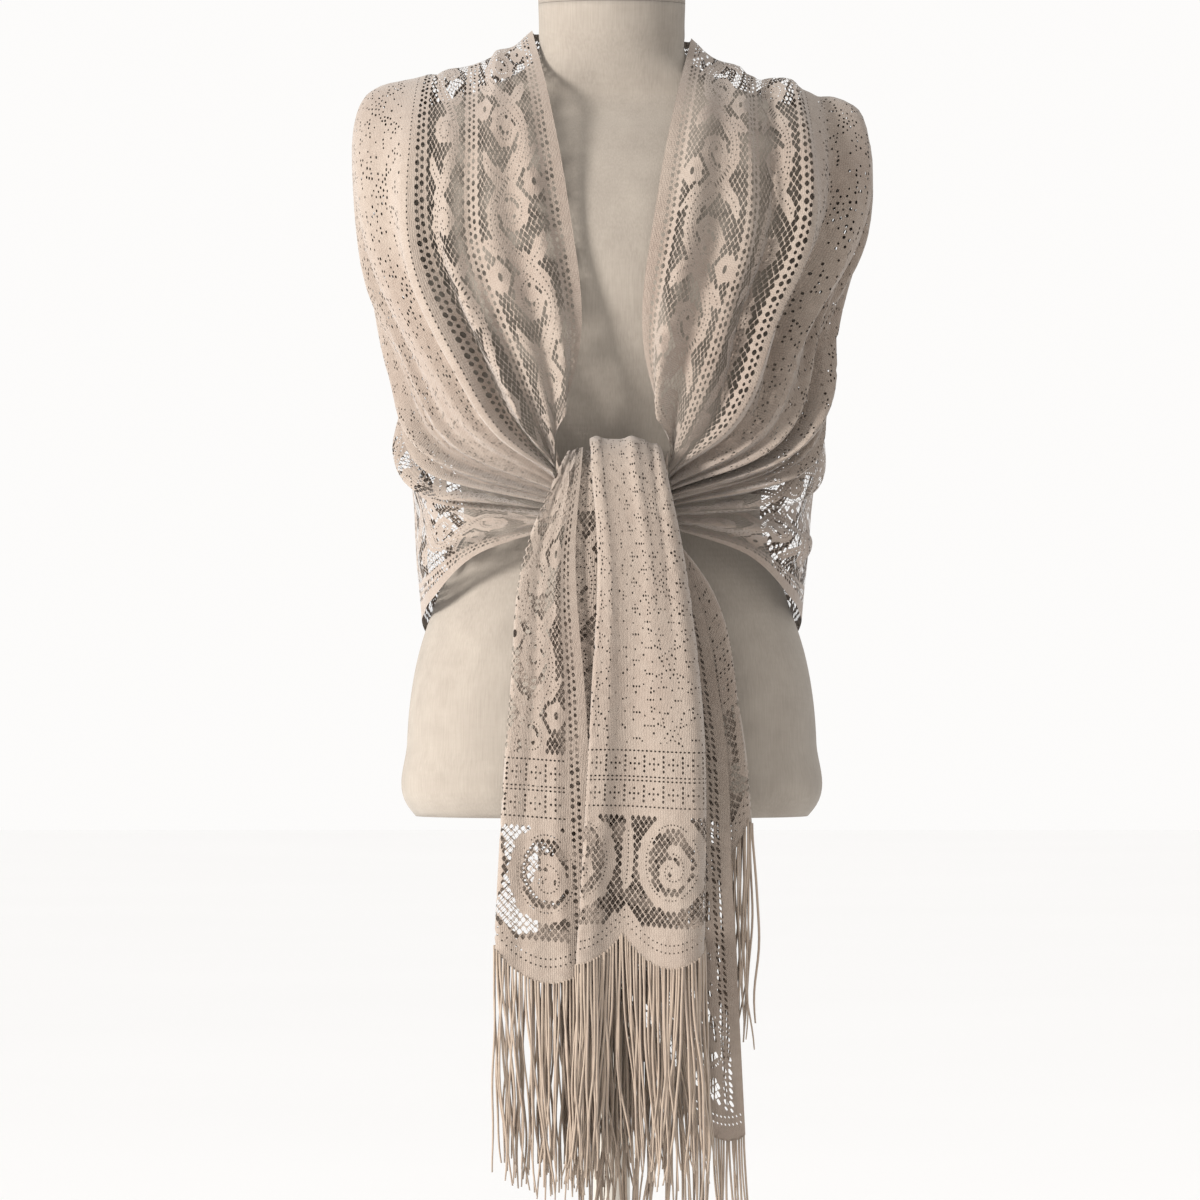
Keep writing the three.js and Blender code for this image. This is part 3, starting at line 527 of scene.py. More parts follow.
class Chart:
    """The holes of a stretch of lace from p0 to p1. With flip, distances in are from the far long edge."""

    def __init__(self, p0, p1, inside):
        self.p0, self.p1, self.inside = p0, p1, inside
        self.loops = []
        self.centres = []

    def add(self, centres, outlines):
        """Keeps the holes that lie wholly inside the stretch."""
        keep = np.array([self.inside(o[:, 0], o[:, 1]).all() for o in outlines], bool)
        self.loops += [o for o, k in zip(outlines, keep) if k]
        self.centres += [c for c, k in zip(centres, keep) if k]

    def add_small(self, centres, along=PIN, across=PIN):
        self.add(centres, ring_of(centres, along, across, 6))

    def net(self, q0, q1, strokes, blocks, flip, from_p):
        """A diamond net from q0 to q1 in from an edge, with solid scrolls on it, starting at from_p."""
        height = q1 - q0
        steps = 2 * int(round(height / CELL_ACROSS))
        pitch = height / (steps / 2 + 0.5) / 2
        p = np.arange(math.ceil(from_p / CELL_ALONG), self.p1 // CELL_ALONG + 1) * CELL_ALONG
        cells = np.concatenate([level(p + (CELL_ALONG / 2 if row % 2 else 0), (row + 1) * pitch)
                                for row in range(steps)])
        start = max(self.p0, from_p)
        cells = cells[(cells[:, 0] > start) & (cells[:, 0] < self.p1)]
        local = cells.copy()
        local[:, 0] %= REPEAT
        deep = depth_in(local, *repeated(strokes))
        clear = deep < -CLEAR_OF_SCROLL
        cells, local = cells[clear], local[clear]
        cells += rng.normal(0, STITCH_SCATTER, cells.shape)
        outlines = ring_of(cells, HOLE_ALONG, HOLE_ACROSS * pitch * 2 / CELL_ACROSS, 8, power=1.3)
        shift = (local - cells)[:, None]
        cells, outlines = pared(cells, outlines + shift, *repeated(strokes), shift)
        self.add_at(cells, outlines, q0, flip)
        pins, slits, way = self.worked(strokes)
        first = math.floor(start / REPEAT) - 1
        for k in range(first, first + math.ceil((self.p1 - self.p0) / REPEAT) + 3):
            placed = pins + (k * REPEAT, 0)
            placed = placed[(placed[:, 0] > start) & (placed[:, 0] < self.p1)]
            self.add_at(placed, ring_of(placed, PIN, PIN, 6), q0, flip)
            placed = slits + (k * REPEAT, 0)
            for centre, turn in zip(placed, way):
                if start < centre[0] < self.p1:
                    self.add_at(centre[None], ring_of(centre[None], *SLIT, 6, turn=turn), q0, flip)
            placed = np.array(blocks, float).reshape(-1, 2) + (k * REPEAT, 0)
            self.add_at(placed, ring_of(placed, *BLOCK_HOLE, 10), q0, flip)

    def worked(self, strokes):
        """The pinholes and the slits in the strokes of one repeat."""
        pins, slits, way = stitched(strokes)
        pins[:, 0] %= REPEAT
        pins = thinned(pins[depth_in(pins, *repeated(strokes)) > 1.25], PIN_GAP)
        near = np.linalg.norm(pins[:, None] - slits[None], axis=2).min(axis=1)
        return pins[near > 4.2], slits, way

    def add_at(self, centres, outlines, q0, flip):
        """Places holes given by their distance in from an edge."""
        centres, outlines = centres.copy(), outlines.copy()
        for array in (centres, outlines):
            array[..., 1] = WIDTH - (array[..., 1] + q0) if flip else array[..., 1] + q0
        self.add(centres, outlines[:, ::-1] if flip else outlines)

    def ladder(self, q0, q1, flip):
        for k, share in enumerate((0.3, 0.7)):
            step = REPEAT / 24
            p = np.arange(math.ceil(self.p0 / step), math.floor(self.p1 / step) + 1) * step + k * step / 2
            centres = level(p, q0 + (q1 - q0) * share)
            centres += rng.normal(0, 0.15, centres.shape)
            fat = 1 + 0.22 * np.sin(p * 0.5 + k)
            outlines = ring_of(centres, 1.75, 1.9, 8, power=1.7)
            outlines = centres[:, None] + (outlines - centres[:, None]) * fat[:, None, None]
            self.add_at(centres, outlines, 0, flip)

    def dotted(self, q, flip, from_p):
        step = REPEAT / 34
        p = np.arange(math.ceil(max(self.p0, from_p) / step), self.p1 // step + 1) * step
        centres = level(p, q)
        self.add_at(centres, ring_of(centres, PIN, PIN, 6), 0, flip)

    def field(self, from_p):
        """Pinholes in the close middle of the shawl: roses, leaves and crosses."""
        centre = WIDTH / 2
        half = centre - FIELD_FROM - 9
        pins = []
        tall = REPEAT / 2
        columns = [(-88, 0), (0, 0.5), (88, 0)]
        for k in range(math.floor(self.p0 / tall) - 1, math.ceil(self.p1 / tall) + 2):
            for offset, shift in columns:
                middle = np.array([(k + shift) * tall, centre + offset])
                for radius, count in ((2.7, 5), (7.5, 11)):
                    angle = 2 * math.pi * np.arange(count) / count + k
                    wobble = radius * (1 + 0.14 * np.cos(5 * angle))
                    pins.append(middle + np.stack([wobble * np.cos(angle), wobble * np.sin(angle)], 1))
                for turn in (40, 140, 220, 320):
                    t = np.linspace(0, 1, 8)
                    way = np.array([math.cos(math.radians(turn)), math.sin(math.radians(turn))])
                    side = np.array([-way[1], way[0]])
                    for hand in (-1, 1):
                        bow = 4.2 * np.sin(math.pi * t) * hand
                        pins.append(middle + way * (13 + 20 * t)[:, None] + side * bow[:, None])
        crosses = grid(self.p0, self.p1, REPEAT / 6, centre - half, centre + half, 14.6, True)
        for step in CROSS:
            pins.append(crosses + 3.1 * step)
        scattered = grid(self.p0, self.p1, REPEAT / 11, centre - half, centre + half, 9.5, True)
        pins.append(scattered + rng.normal(0, 1.2, scattered.shape))
        pins = thinned(np.concatenate(pins), 3.1)
        pins = pins[(np.abs(pins[:, 1] - centre) < half) & (pins[:, 0] > max(self.p0, from_p))
                    & (pins[:, 0] < self.p1)]
        size = PIN * rng.uniform(0.9, 1.5, len(pins))
        outlines = pins[:, None] + (ring_of(pins, 1, 1, 6) - pins[:, None]) * size[:, None, None]
        self.add(pins, outlines)

    def end_border(self):
        """The worked border of a tail: dotted arcs, rings in a net, and two rows of blocks between lines."""
        v = np.arange(4, WIDTH - 3, 3.9)
        for out in (13, 19):
            line = scallop(v / WIDTH) + out
            self.add_small(np.stack([line, v], 1))
        pitch = WIDTH / SCALLOPS
        rings = []
        for k in range(SCALLOPS):
            middle = (k + 0.5) * pitch
            t = np.linspace(0, 2 * math.pi, 60)
            ring = np.stack([58 + 33 * np.cos(t), middle + 27 * np.sin(t)], 1)
            rings.append(Stroke(ring, 4.2, dots=(1,)))
            rings.append(volute((52, middle), 16, 0, 1 if k % 2 else -1, turns=1.2, half=4))
            rings.append(leaf((38, middle + pitch / 2), (60, middle + pitch / 2 + 3),
                              (92, middle + pitch / 2), 4.5))
        middles = np.concatenate([r.points for r in rings])
        half = np.concatenate([r.half for r in rings])
        q = np.arange(25, WIDTH - 24, CELL_ACROSS)
        cells = np.concatenate([level(q + (CELL_ACROSS / 2 if row % 2 else 0), 8 + row * CELL_ALONG / 2)
                                for row in range(int(90 / CELL_ALONG * 2))])[:, ::-1]
        cells = cells[cells[:, 0] > scallop(cells[:, 1] / WIDTH) + 25]
        clear = depth_in(cells, middles, half) < -CLEAR_OF_SCROLL
        cells = cells[clear & (cells[:, 0] < BORDER_NET_END)]
        cells += rng.normal(0, STITCH_SCATTER, cells.shape)
        self.add(*pared(cells, ring_of(cells, HOLE_ALONG, HOLE_ACROSS, 8, power=1.3), middles, half, 0))
        pins = stitched(rings)[0]
        self.add_small(thinned(pins[depth_in(pins, middles, half) > 1.2], PIN_GAP))
        for start in BLOCK_ROWS:
            room = WIDTH - 2 * BORDER_MARGIN
            count = int(room / BLOCK_PITCH)
            outermost = BORDER_MARGIN + (room - (count - 1) * BLOCK_PITCH) / 2
            centres = outermost + np.arange(count) * BLOCK_PITCH
            for q in centres:
                self.add_small((start + 8, q) + 4.2 * CROSS, 1.15, 1.15)
                self.add_small(level(start + 2.2 + 3.9 * np.arange(4), q + BLOCK_PITCH / 2), 1.35, 1.25)
            for edge in (-2.4, 18.4):
                self.add_small(level(np.arange(26, WIDTH - 25, 4.2), start + edge)[:, ::-1], 0.85, 1.3)


def thinned(points, gap):
    """The points without those that lie closer than gap to an earlier one."""
    cells, kept = {}, []
    for index, (x, y) in enumerate(points):
        i, j = int(x // gap), int(y // gap)
        near = [other for dx in (-1, 0, 1) for dy in (-1, 0, 1) for other in cells.get((i + dx, j + dy), ())]
        if all((points[k][0] - x) ** 2 + (points[k][1] - y) ** 2 >= gap * gap for k in near):
            cells.setdefault((i, j), []).append(index)
            kept.append(index)
    return points[kept]


def clear_of(loops, spots, cell):
    """The spots with no point of the loops in their own cell of a grid or the eight round it."""
    taken = {(int(x // cell), int(y // cell)) for outline in loops for x, y in outline}
    near = [(dx, dy) for dx in (-1, 0, 1) for dy in (-1, 0, 1)]
    clear = [not any((int(x // cell) + dx, int(y // cell) + dy) in taken for dx, dy in near)
             for x, y in spots]
    return spots[np.array(clear, bool)]


def fill_points(p0, p1, loops, inside, step=6.0):
    """Points of the solid cloth, clear of the holes, so that the sheet bends smoothly."""
    spots = grid(p0, p1, step, 0, WIDTH, step * 0.866, True)
    return clear_of([outline[::2] for outline in loops], spots[inside(spots[:, 0], spots[:, 1])], 2.0)


def cut(chart, border, *more):
    """Triangles of the flat lace inside the border, without its holes; more: further points to meet at."""
    points = [border, fill_points(chart.p0, chart.p1, chart.loops, chart.inside), *more]
    count = sum(len(p) for p in points)
    faces = []
    for outline in chart.loops:
        faces.append(list(range(count, count + len(outline))))
        count += len(outline)
    flat = np.concatenate(points + chart.loops)
    edges = [(k, (k + 1) % len(border)) for k in range(len(border))]
    out = delaunay_2d_cdt([Vector(p) for p in flat.tolist()], edges, faces, 1, 1e-4)
    vertices = np.array([tuple(v) for v in out[0]])
    triangles = np.array([f for f, origin in zip(out[2], out[5]) if not origin and len(f) == 3])
    return vertices, triangles


def bordered(p0, p1, top=None, bottom=None, step=5.0):
    """The outline of a stretch: straight, or with its own top and bottom as functions of across."""
    q = np.linspace(0, WIDTH, int(WIDTH / step) + 1)
    low = bottom(q / WIDTH) if bottom else np.full(len(q), float(p0))
    high = top(q / WIDTH) if top else np.full(len(q), float(p1))
    first, second = np.stack([low, q], 1), np.stack([high, q], 1)[::-1]

    def side(a, b):
        count = max(2, int(np.linalg.norm(b - a) / step))
        share = np.arange(1, count)[:, None] / count
        return a + (b - a) * share

    return np.concatenate([first, side(first[-1], second[0]), second, side(second[-1], first[0])])


def wrap_chart():
    def inside(p, q):
        return (np.abs(p) < HALF_WRAP - MARGIN) & (q > MARGIN) & (q < WIDTH - MARGIN)

    chart = Chart(-HALF_WRAP, HALF_WRAP, inside)
    worked_all_along(chart, -HALF_WRAP)
    return cut(chart, bordered(-HALF_WRAP, HALF_WRAP))


def worked_all_along(chart, from_p):
    for flip in (False, True):
        for q0, q1 in LADDERS:
            chart.ladder(q0, q1, flip)
        chart.net(*NETS[0], WIDE_SCROLL, WIDE_BLOCK_HOLES, flip, from_p)
        chart.net(*NETS[1], NARROW_SCROLL, [], flip, from_p)
        chart.dotted(FIELD_FROM + 5, flip, from_p)
    chart.field(from_p)


def tail_chart(tail, top, length):
    def inside(p, q):
        across = np.clip(q / WIDTH, 0, 1)
        return (q > MARGIN) & (q < WIDTH - MARGIN) & (p > scallop(across) + 4) & (p < top(across) - MARGIN)

    chart = Chart(-SCALLOP_DEPTH, length, inside)
    worked_all_along(chart, BORDER_END)
    edge = LADDERS[0][1] + 1  # the outermost ladder goes on through the end border
    kept = [c[0] > BORDER_END or min(c[1], WIDTH - c[1]) < edge
            and c[0] > scallop(c[1] / WIDTH) + LADDER_STOP for c in chart.centres]
    chart.centres = [c for c, keep in zip(chart.centres, kept) if keep]
    chart.loops = [o for o, keep in zip(chart.loops, kept) if keep]
    chart.end_border()
    folds = []
    for turn, half in list(zip(tail["turns"], turn_halves(tail)))[1:-1]:
        for k in (-1, -0.6, -0.2, 0.2, 0.6, 1):
            folds.append(level(np.arange(-20, length, 5.0), (turn[0] + k * half) * WIDTH))
    folds = np.concatenate(folds)
    folds = clear_of(chart.loops, folds[inside(folds[:, 0], folds[:, 1])], 1.5)
    return cut(chart, bordered(0, length, top=top, bottom=scallop, step=4.0), folds)


# ---- flat length to the wrap's sections ----
def round_table():
    """How far round each flat distance from mid-back lies: half by the arc there, half by the mean arc."""
    rounds = np.linspace(0, 1, 161)
    acrosses = np.linspace(0, 1, 41)
    own = []
    for a in acrosses:
        points = plain_wrap(rounds, np.full(len(rounds), a))
        own.append(np.concatenate([[0], np.cumsum(np.linalg.norm(np.diff(points, axis=0), axis=1))]))
    own = np.array(own)
    shares = own / own[:, -1:]
    shares = 0.5 * shares + 0.5 * (own.mean(axis=0) / own.mean(axis=0)[-1])[None]
    lengths = np.linspace(0, 1, 161)
    return acrosses, lengths, np.array([np.interp(lengths, s, rounds) for s in shares])


def rounds_of(p, q, table):
    acrosses, lengths, values = table
    share = np.clip(np.abs(p) / HALF_WRAP, 0, 1) * (len(lengths) - 1)
    row = np.clip(q / WIDTH, 0, 1) * (len(acrosses) - 1)
    i, j = np.minimum(share.astype(int), len(lengths) - 2), np.minimum(row.astype(int), len(acrosses) - 2)
    s, t = share - i, row - j
    low = values[j, i] * (1 - s) + values[j, i + 1] * s
    high = values[j + 1, i] * (1 - s) + values[j + 1, i + 1] * s
    return np.sign(p) * (low * (1 - t) + high * t)


# ---- meshes ----
def mesh_object(name, points, faces, material, flat=None):
    """A mesh in metres from points in millimetres, with the flat place of each point as its UV map."""
    mesh = bpy.data.meshes.new(name)
    mesh.from_pydata((np.asarray(points) * MM).tolist(), [], np.asarray(faces).tolist()
                     if not isinstance(faces, list) else faces)
    mesh.validate()
    if flat is not None:
        uv = mesh.uv_layers.new(name="flat")
        corner = np.empty(len(mesh.loops), int)
        mesh.loops.foreach_get("vertex_index", corner)
        uv.data.foreach_set("uv", (flat[corner] / 100.0).ravel())
    mesh.polygons.foreach_set("use_smooth", [True] * len(mesh.polygons))
    mesh.materials.append(material)
    piece = bpy.data.objects.new(name, mesh)
    bpy.context.scene.collection.objects.link(piece)
    return piece


def flat_area(flat, faces):
    a, b, c = (flat[faces[:, k]] for k in range(3))
    ab, ac = b - a, c - a
    return float(np.abs(ab[:, 0] * ac[:, 1] - ab[:, 1] * ac[:, 0]).sum() / 2) * MM * MM


def facing(points, faces, towards):
    """The faces turned so that most of them look along towards."""
    a, b, c = (points[faces[:, k]] for k in range(3))
    normal = np.cross(b - a, c - a)
    return faces if (normal * towards(a)).sum() > 0 else faces[:, ::-1]


# ---- materials ----
def srgb(r, g, b):
    return tuple((v / 255 / 12.92 if v / 255 <= 0.04045 else ((v / 255 + 0.055) / 1.055) ** 2.4)
                 for v in (r, g, b)) + (1.0,)


class Shader:
    """A node material, built by short calls."""

    def __init__(self, name, roughness, sheen=0.0, coat=0.0):
        self.material = bpy.data.materials.new(name)
        self.material.use_nodes = True
        self.nodes, self.links = self.material.node_tree.nodes, self.material.node_tree.links
        self.surface = self.nodes["Principled BSDF"]
        self.feed(self.surface, {"Roughness": roughness, "Sheen Weight": sheen, "Sheen Roughness": 0.6,
                                 "Coat Weight": coat})
        self.place = self.nodes.new("ShaderNodeTexCoord")

    def feed(self, node, values):
        """Sets the sockets of a node, or links them where the value is another node's output."""
        for key, value in values.items():
            if hasattr(value, "is_output"):
                self.links.new(value, node.inputs[key])
            else:
                node.inputs[key].default_value = value
        return node

    def node(self, kind, **values):
        return self.feed(self.nodes.new(kind), values)

    def noise(self, scale, detail):
        return self.node("ShaderNodeTexNoise", Vector=self.place.outputs["Object"], Scale=scale,
                         Detail=detail).outputs["Fac"]

    def ramp(self, factor, stops):
        node = self.node("ShaderNodeValToRGB", Fac=factor)
        for element, (at, colour) in zip(node.color_ramp.elements, stops):
            element.position = at
            element.color = colour
        return node.outputs["Color"]

    def mix(self, factor, a, b):
        node = self.nodes.new("ShaderNodeMix")
        node.data_type = "RGBA"
        return self.feed(node, {0: factor, 6: a, 7: b}).outputs[2]

    def math(self, operation, a, b):
        node = self.nodes.new("ShaderNodeMath")
        node.operation = operation
        return self.feed(node, {0: a, 1: b}).outputs[0]

    def bump(self, height, distance, strength=0.6):
        node = self.node("ShaderNodeBump", Height=height, Distance=distance, Strength=strength)
        self.links.new(node.outputs["Normal"], self.surface.inputs["Normal"])

    def colour(self, value):
        self.links.new(value, self.surface.inputs["Base Color"])
        return self.material


def lace_material(name, light, mid, dark):
    """Cotton lace: close rows of small stitches, mottled in tone, with painted shade darkening the gaps
    between the stitches.
    """
    shader = Shader(name, 0.82, sheen=0.25)
    rows = shader.node("ShaderNodeTexVoronoi", Vector=shader.place.outputs["UV"], Scale=62.0,
                       Randomness=0.35)
    stitches = rows.outputs["Distance"]
    broad = shader.noise(9.0, 4.0)
    fine = shader.noise(160.0, 2.0)
    tone = shader.ramp(broad, [(0.3, mid), (0.62, light)])
    # painted shade: the colour darkens towards the edges of each stitch cell, where the bump lies low
    stitch_gap_shade = shader.ramp(stitches, [(0.25, light), (0.75, dark)])
    tone = shader.mix(0.32, tone, stitch_gap_shade)
    yarn = shader.ramp(fine, [(0.35, dark), (0.65, light)])
    shader.bump(shader.math("ADD", shader.math("MULTIPLY", stitches, -1.0), fine), 0.0009, 0.75)
    return shader.colour(shader.mix(0.18, tone, yarn))


def linen_material():
    """Plain-woven cover of the dress form."""
    shader = Shader("linen_cover", 0.9, sheen=0.1)
    place = shader.place.outputs["Object"]
    weft = shader.node("ShaderNodeTexWave", Vector=place, Scale=320.0, Distortion=1.2)
    weft.bands_direction = "Z"
    drawn_out = shader.node("ShaderNodeMapping", Vector=place, Scale=(1.0, 1.0, 0.04))
    warp = shader.node("ShaderNodeTexNoise", Vector=drawn_out.outputs["Vector"], Scale=900.0, Detail=1.0)
    threads = shader.math("ADD", weft.outputs["Fac"], warp.outputs["Fac"])
    slubs = shader.noise(42.0, 5.0)
    cloth = shader.ramp(slubs, [(0.25, srgb(129, 120, 110)), (0.75, srgb(146, 137, 126))])
    thread = shader.ramp(warp.outputs["Fac"], [(0.3, srgb(124, 115, 104)), (0.7, srgb(148, 140, 129))])
    shader.bump(threads, 0.0004, 0.5)
    return shader.colour(shader.mix(0.3, cloth, thread))


def paint_material():
    """Cream powder paint on steel, with a fine orange peel and a tone that differs at random in broad
    patches.
    """
    shader = Shader("cream_powder_paint", 0.42, coat=0.15)
    peel = shader.noise(420.0, 2.0)
    dust = shader.noise(6.0, 5.0)
    shader.bump(peel, 0.0002, 0.35)
    return shader.colour(shader.ramp(dust, [(0.3, srgb(160, 155, 145)), (0.7, srgb(176, 171, 162))]))


# ---- pieces ----
def lace_piece(name, flat, points, triangles, material):
    """A stretch of lace from its own triangles, the flat area of its cloth and its flat length."""
    used, faces = np.unique(triangles, return_inverse=True)
    faces, flat = faces.reshape(triangles.shape), flat[used]
    piece = mesh_object(name, points[used], faces, material, flat=flat)
    return piece, flat_area(flat, faces), np.ptp(flat[:, 0]) * MM


def make_wrap(material):
    vertices, triangles = wrap_chart()
    table = round_table()
    points = wrap(rounds_of(vertices[:, 0], vertices[:, 1], table), vertices[:, 1] / WIDTH)
    triangles = facing(points, triangles, lambda a: a * (1, 1, 0))
    middle = vertices[triangles, 0].mean(axis=1)
    reach = HALF_WRAP * 0.47
    chosen = {"lace_back": np.abs(middle) <= reach, "lace_left_front": middle < -reach,
              "lace_right_front": middle > reach}
    return {name: lace_piece(name, vertices, points, triangles[own], material)
            for name, own in chosen.items()}


def make_tail(name, tail, surface, top, length, material):
    vertices, triangles = tail_chart(tail, top, length)
    points = surface(vertices[:, 1] / WIDTH, vertices[:, 0])
    triangles = facing(points, triangles, lambda a: np.array([0, -1.0, 0]))
    return lace_piece(name, vertices, points, triangles, material)


def make_fringe(name, surface, strands, material):
    """Separate strands, each a thin tube that hangs from the scalloped end."""
    sides, steps = 5, 20
    points, faces = [], []
    across = (np.arange(strands) + 0.5) / strands + rng.uniform(-0.35, 0.35, strands) / strands
    across = np.clip(across, 0.003, 0.997)
    tops = surface(across, scallop(across) + 1.0)
    for k in range(strands):
        length = FRINGE * rng.uniform(0.9, 1.03)
        if k % IN_A_TUFT == 0:
            shared = rng.normal(0, 6.5)
        lean = shared + rng.normal(0, 4.5), rng.normal(0, 2)
        wander = rng.uniform(0, 2 * math.pi, 3)
        swing = rng.uniform(0.8, 4.2)
        waves = rng.uniform(4, 7)
        radius = rng.uniform(0.8, 1.15)
        t = np.linspace(0, 1, steps)
        sway = swing * (np.sin(waves * t + wander[0]) - math.sin(wander[0])) * t ** 0.6
        sway = sway + 0.9 * (np.sin(14 * t + wander[2]) - math.sin(wander[2])) * t
        curl = 1.6 * (np.sin(11 * t + wander[1]) - math.sin(wander[1])) * t
        x = tops[k, 0] + lean[0] * t ** 1.5 + sway
        y = tops[k, 1] + lean[1] * t + curl + rng.uniform(-0.8, 0.8)
        z = tops[k, 2] - length * t
        middle = np.stack([x, y, z], 1)
        angle = 2 * math.pi * np.arange(sides) / sides
        thin = radius * (1 - 0.35 * t ** 6)
        first = k * sides * steps
        ring = np.stack([np.cos(angle), np.sin(angle), 0 * angle], 1)
        points.append((middle[:, None, :] + ring[None] * thin[:, None, None]).reshape(-1, 3))
        for i in range(steps - 1):
            for j in range(sides):
                a, b = first + i * sides + j, first + i * sides + (j + 1) % sides
                faces.append((a, a + sides, b + sides, b))
        faces.append(tuple(first + j for j in range(sides)))
        faces.append(tuple(first + (steps - 1) * sides + j for j in range(sides))[::-1])
    return mesh_object(name, np.concatenate(points), faces, material)


def make_knot(material):
    """The bundle of cloth inside the knot: oval sections with folds that run across it."""
    count = 72
    angle = 2 * math.pi * np.arange(count) / count
    points = []
    for s in np.linspace(-1, 1, 41):
        z, high, thick = at_station(KNOT_SECTIONS, s)
        folds = 1 - 0.07 * (1 + np.sin(8 * angle + 1.6 * s + np.sin(3 * angle)))
        folds = folds - 0.03 * (1 + np.sin(17 * angle - 2.2 * s))
        points.append(np.stack([np.full(count, s * (KNOT_X - 1.2)), KNOT_Y + thick * folds * np.cos(angle),
                                z + high * folds * np.sin(angle)], 1))
    return lofted("knot_folds", points, material)


def lofted(name, rings, material):
    """A closed piece through rings of points."""
    count = len(rings[0])
    faces = []
    for i in range(len(rings) - 1):
        for j in range(count):
            a, b = i * count + j, i * count + (j + 1) % count
            faces.append((a, b, b + count, a + count))
    last = (len(rings) - 1) * count
    faces.append(tuple(range(count))[::-1])
    faces.append(tuple(range(last, last + count)))
    piece = mesh_object(name, np.concatenate(rings), faces, material)
    flip_outward(piece)
    return piece


def flip_outward(piece):
    """Turns every face of a closed mesh outward."""
    mesh = piece.data
    volume = 0.0
    mesh.calc_loop_triangles()
    for triangle in mesh.loop_triangles:
        a, b, c = (mesh.vertices[i].co for i in triangle.vertices)
        volume += a.dot(b.cross(c))
    if volume < 0:
        mesh.flip_normals()


def form_ring(z, half, front, back, angles):
    squareness = BODY_SQUARENESS + (NECK_SQUARENESS - BODY_SQUARENESS) * float(
        ease((z - NECK_FROM) / (NECK_TO - NECK_FROM)))
    c, s = np.cos(angles), np.sin(angles)
    power = 2 / squareness
    x = half * np.sign(c) * np.abs(c) ** power
    swell = np.where(s < 0, BUST_REACH * np.exp(-((np.abs(x) - BUST_X) / BUST_WIDTH) ** 2
                                                - ((z - BUST_Z) / BUST_HEIGHT) ** 2) * np.abs(s), 0)
    y = np.where(s < 0, front, back) * np.sign(s) * np.abs(s) ** power - swell
    return np.stack([x, y, np.full(len(angles), z)], 1)


def make_form(material):
    """The torso and its neck cap, smooth, with pressed seams at the back and sides."""
    angles = [2 * math.pi * k / 96 for k in range(96)]
    for seam in range(3):
        angles += [seam * math.pi / 2 + d for d in (-0.02, -0.01, 0.01, 0.02)]
    angles = np.array(sorted(angles))
    seams = np.exp(-((np.mod(angles + math.pi / 4, math.pi / 2) - math.pi / 4) / 0.012) ** 2) * (angles < 4)
    pieces = []
    for name, rings, count in (("form_cover", RINGS, 150), ("form_neck", NECK_RINGS, 14)):
        keys = [r[0] for r in rings]
        heights = np.unique(np.concatenate([np.linspace(keys[0], keys[-1], count), keys]))
        loops = []
        for z in heights:
            loop = form_ring(z, *at_station(rings, z), angles)
            inward = -loop * (1, 1, 0)
            inward /= np.linalg.norm(inward, axis=1, keepdims=True)
            loops.append(loop + inward * (0.6 * seams)[:, None])
        pieces.append(lofted(name, loops, material))
    return pieces


def turned(name, profile, material, count=96):
    """A turned piece standing upright, from its radius and height pairs."""
    angle = 2 * math.pi * np.arange(count) / count
    c, s = np.cos(angle), np.sin(angle)
    loops = [np.stack([r * c, r * s, np.full(count, float(z))], 1) for r, z in profile]
    piece = lofted(name, loops, material)
    piece.data.set_sharp_from_angle(angle=math.radians(35))
    return piece


def make_stand(material):
    flange = FORM_BOTTOM - SEAM
    foot = flange - 14
    pole_top = foot - SEAM
    rim = [(BASE_RADIUS - 2, 0), (BASE_RADIUS, 2), (BASE_RADIUS, BASE_THICK - 4),
           (BASE_RADIUS - 1, BASE_THICK - 1.6), (BASE_RADIUS - 4, BASE_THICK)]
    return [
        turned("stand_collar", [(22, foot), (24, flange - 6), (46, flange - 4), (46, flange)], material),
        turned("stand_pole", [(POLE_RADIUS, BASE_THICK + SEAM), (POLE_RADIUS, pole_top)], material),
        turned("stand_base", rim, material),
    ]


# ---- the room ----
def add_light(name, place, target, size, power, colour):
    data = bpy.data.lights.new(name, "AREA")
    data.size = size
    data.energy = power
    data.color = colour
    light = bpy.data.objects.new(name, data)
    light.location = place
    light.rotation_euler = (Vector(target) - Vector(place)).to_track_quat("-Z", "Y").to_euler()
    bpy.context.scene.collection.objects.link(light)


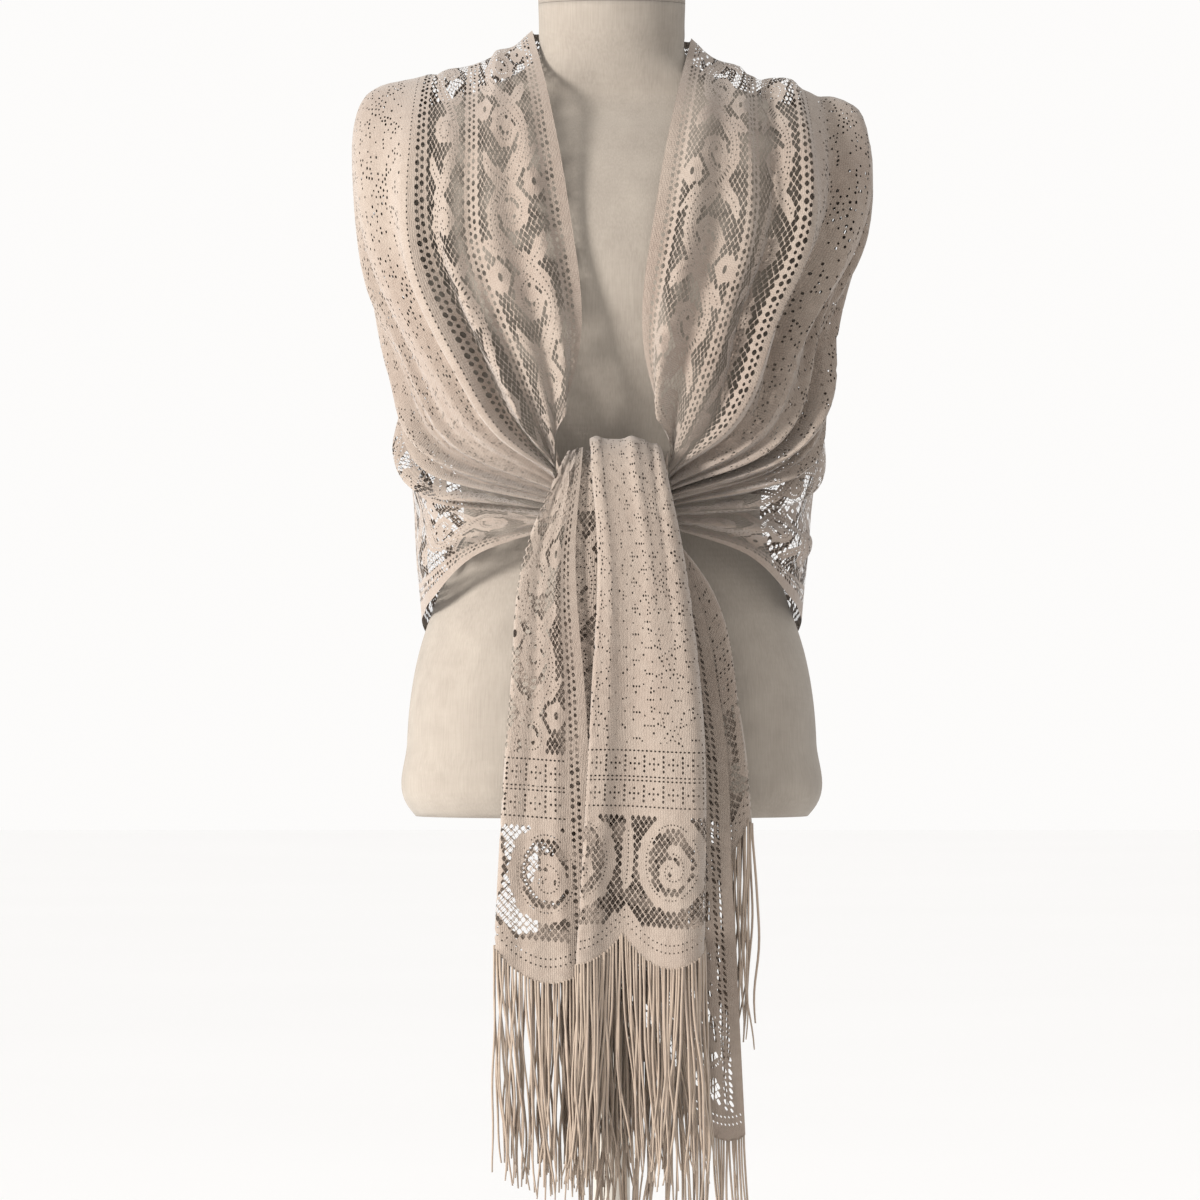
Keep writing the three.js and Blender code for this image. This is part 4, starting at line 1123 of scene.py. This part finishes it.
def make_room():
    world = bpy.data.worlds.new("pale_room")
    world.use_nodes = True
    world.node_tree.nodes["Background"].inputs["Color"].default_value = (1.0, 0.99, 0.98, 1)
    world.node_tree.nodes["Background"].inputs["Strength"].default_value = 0.98
    bpy.context.scene.world = world
    bpy.context.scene.view_settings.view_transform = "Standard"
    add_light("key", (-2.6, -1.85, 1.75), (0, 0, 1.15), 0.7, 192, (1.0, 0.975, 0.95))
    add_light("fill", (1.9, -2.2, 1.3), (0, 0, 1.05), 1.5, 3, (1.0, 0.97, 0.95))
    floor_shader = Shader("pale_floor", 0.9)
    tone = floor_shader.noise(0.6, 2.0)
    material = floor_shader.colour(floor_shader.ramp(tone, [(0.2, (0.97, 0.967, 0.963, 1)),
                                                            (0.8, (0.985, 0.982, 0.978, 1))]))
    reach = 30000
    corners = [(-reach, -reach, 0), (reach, -reach, 0), (reach, reach, 0), (-reach, reach, 0)]
    floor = mesh_object("floor", corners, [(0, 1, 2, 3)], material)
    floor.location.z = -0.0006


def make_camera():
    """Level, straight from the front, framing the worn shawl closely."""
    shown = 0.96  # metres of the picture's side at the front of the shawl
    distance = 7.0
    front = -0.14
    data = bpy.data.cameras.new("camera")
    data.sensor_width = 36
    data.lens = data.sensor_width * distance / shown
    camera = bpy.data.objects.new("camera", data)
    camera.location = (-0.0096, front - distance, 0.976)
    camera.rotation_euler = (math.pi / 2, 0, 0)
    bpy.context.scene.collection.objects.link(camera)
    bpy.context.scene.camera = camera


# ---- the object ----
make_camera()
make_room()

lace = lace_material("cotton_lace", srgb(142, 129, 117), srgb(133, 117, 105), srgb(108, 91, 78))
cord = lace_material("fringe_yarn", srgb(152, 136, 120), srgb(139, 121, 105), srgb(112, 93, 78))
linen = linen_material()
paint = paint_material()


def settle(piece, slot, *nodes):
    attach(piece, "root")
    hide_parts(*nodes)


cover, neck = make_form(linen)
settle(cover, "linen", "form_torso")
settle(neck, "linen", "form_neck_cap")
for piece, node in zip(make_stand(paint), ("form_collar", "form_pole", "form_base")):
    settle(piece, "stand_paint", node)

wraps = make_wrap(lace)
for name, node, held, rests in (
        ("lace_back", "shawl_back", "draped", ["form_cover"]),
        ("lace_left_front", "shawl_left_front", "gathered", ["form_cover", "knot_folds"]),
        ("lace_right_front", "shawl_right_front", "gathered", ["form_cover", "knot_folds"])):
    piece, area, length = wraps[name]
    settle(piece, "lace", node)

knot = make_knot(lace)
settle(knot, "lace", "shawl_knot")

for side, tail, surface, top, length, held, carried in (
        ("front", FRONT_TAIL, front_tail, front_top, FRONT_TAIL_LENGTH, "gathered", [knot]),
        ("rear", REAR_TAIL, rear_tail, rear_top, REAR_TAIL_TOP - REAR_TAIL["end"], "hung", [])):
    piece, area, flat_length = make_tail(f"lace_{side}_tail", tail, surface, top, length, lace)
    settle(piece, "lace", f"shawl_{side}_tail")
    strands = make_fringe(f"{side}_fringe_strands", surface, STRANDS, cord)
    settle(strands, "fringe", f"{side}_fringe")
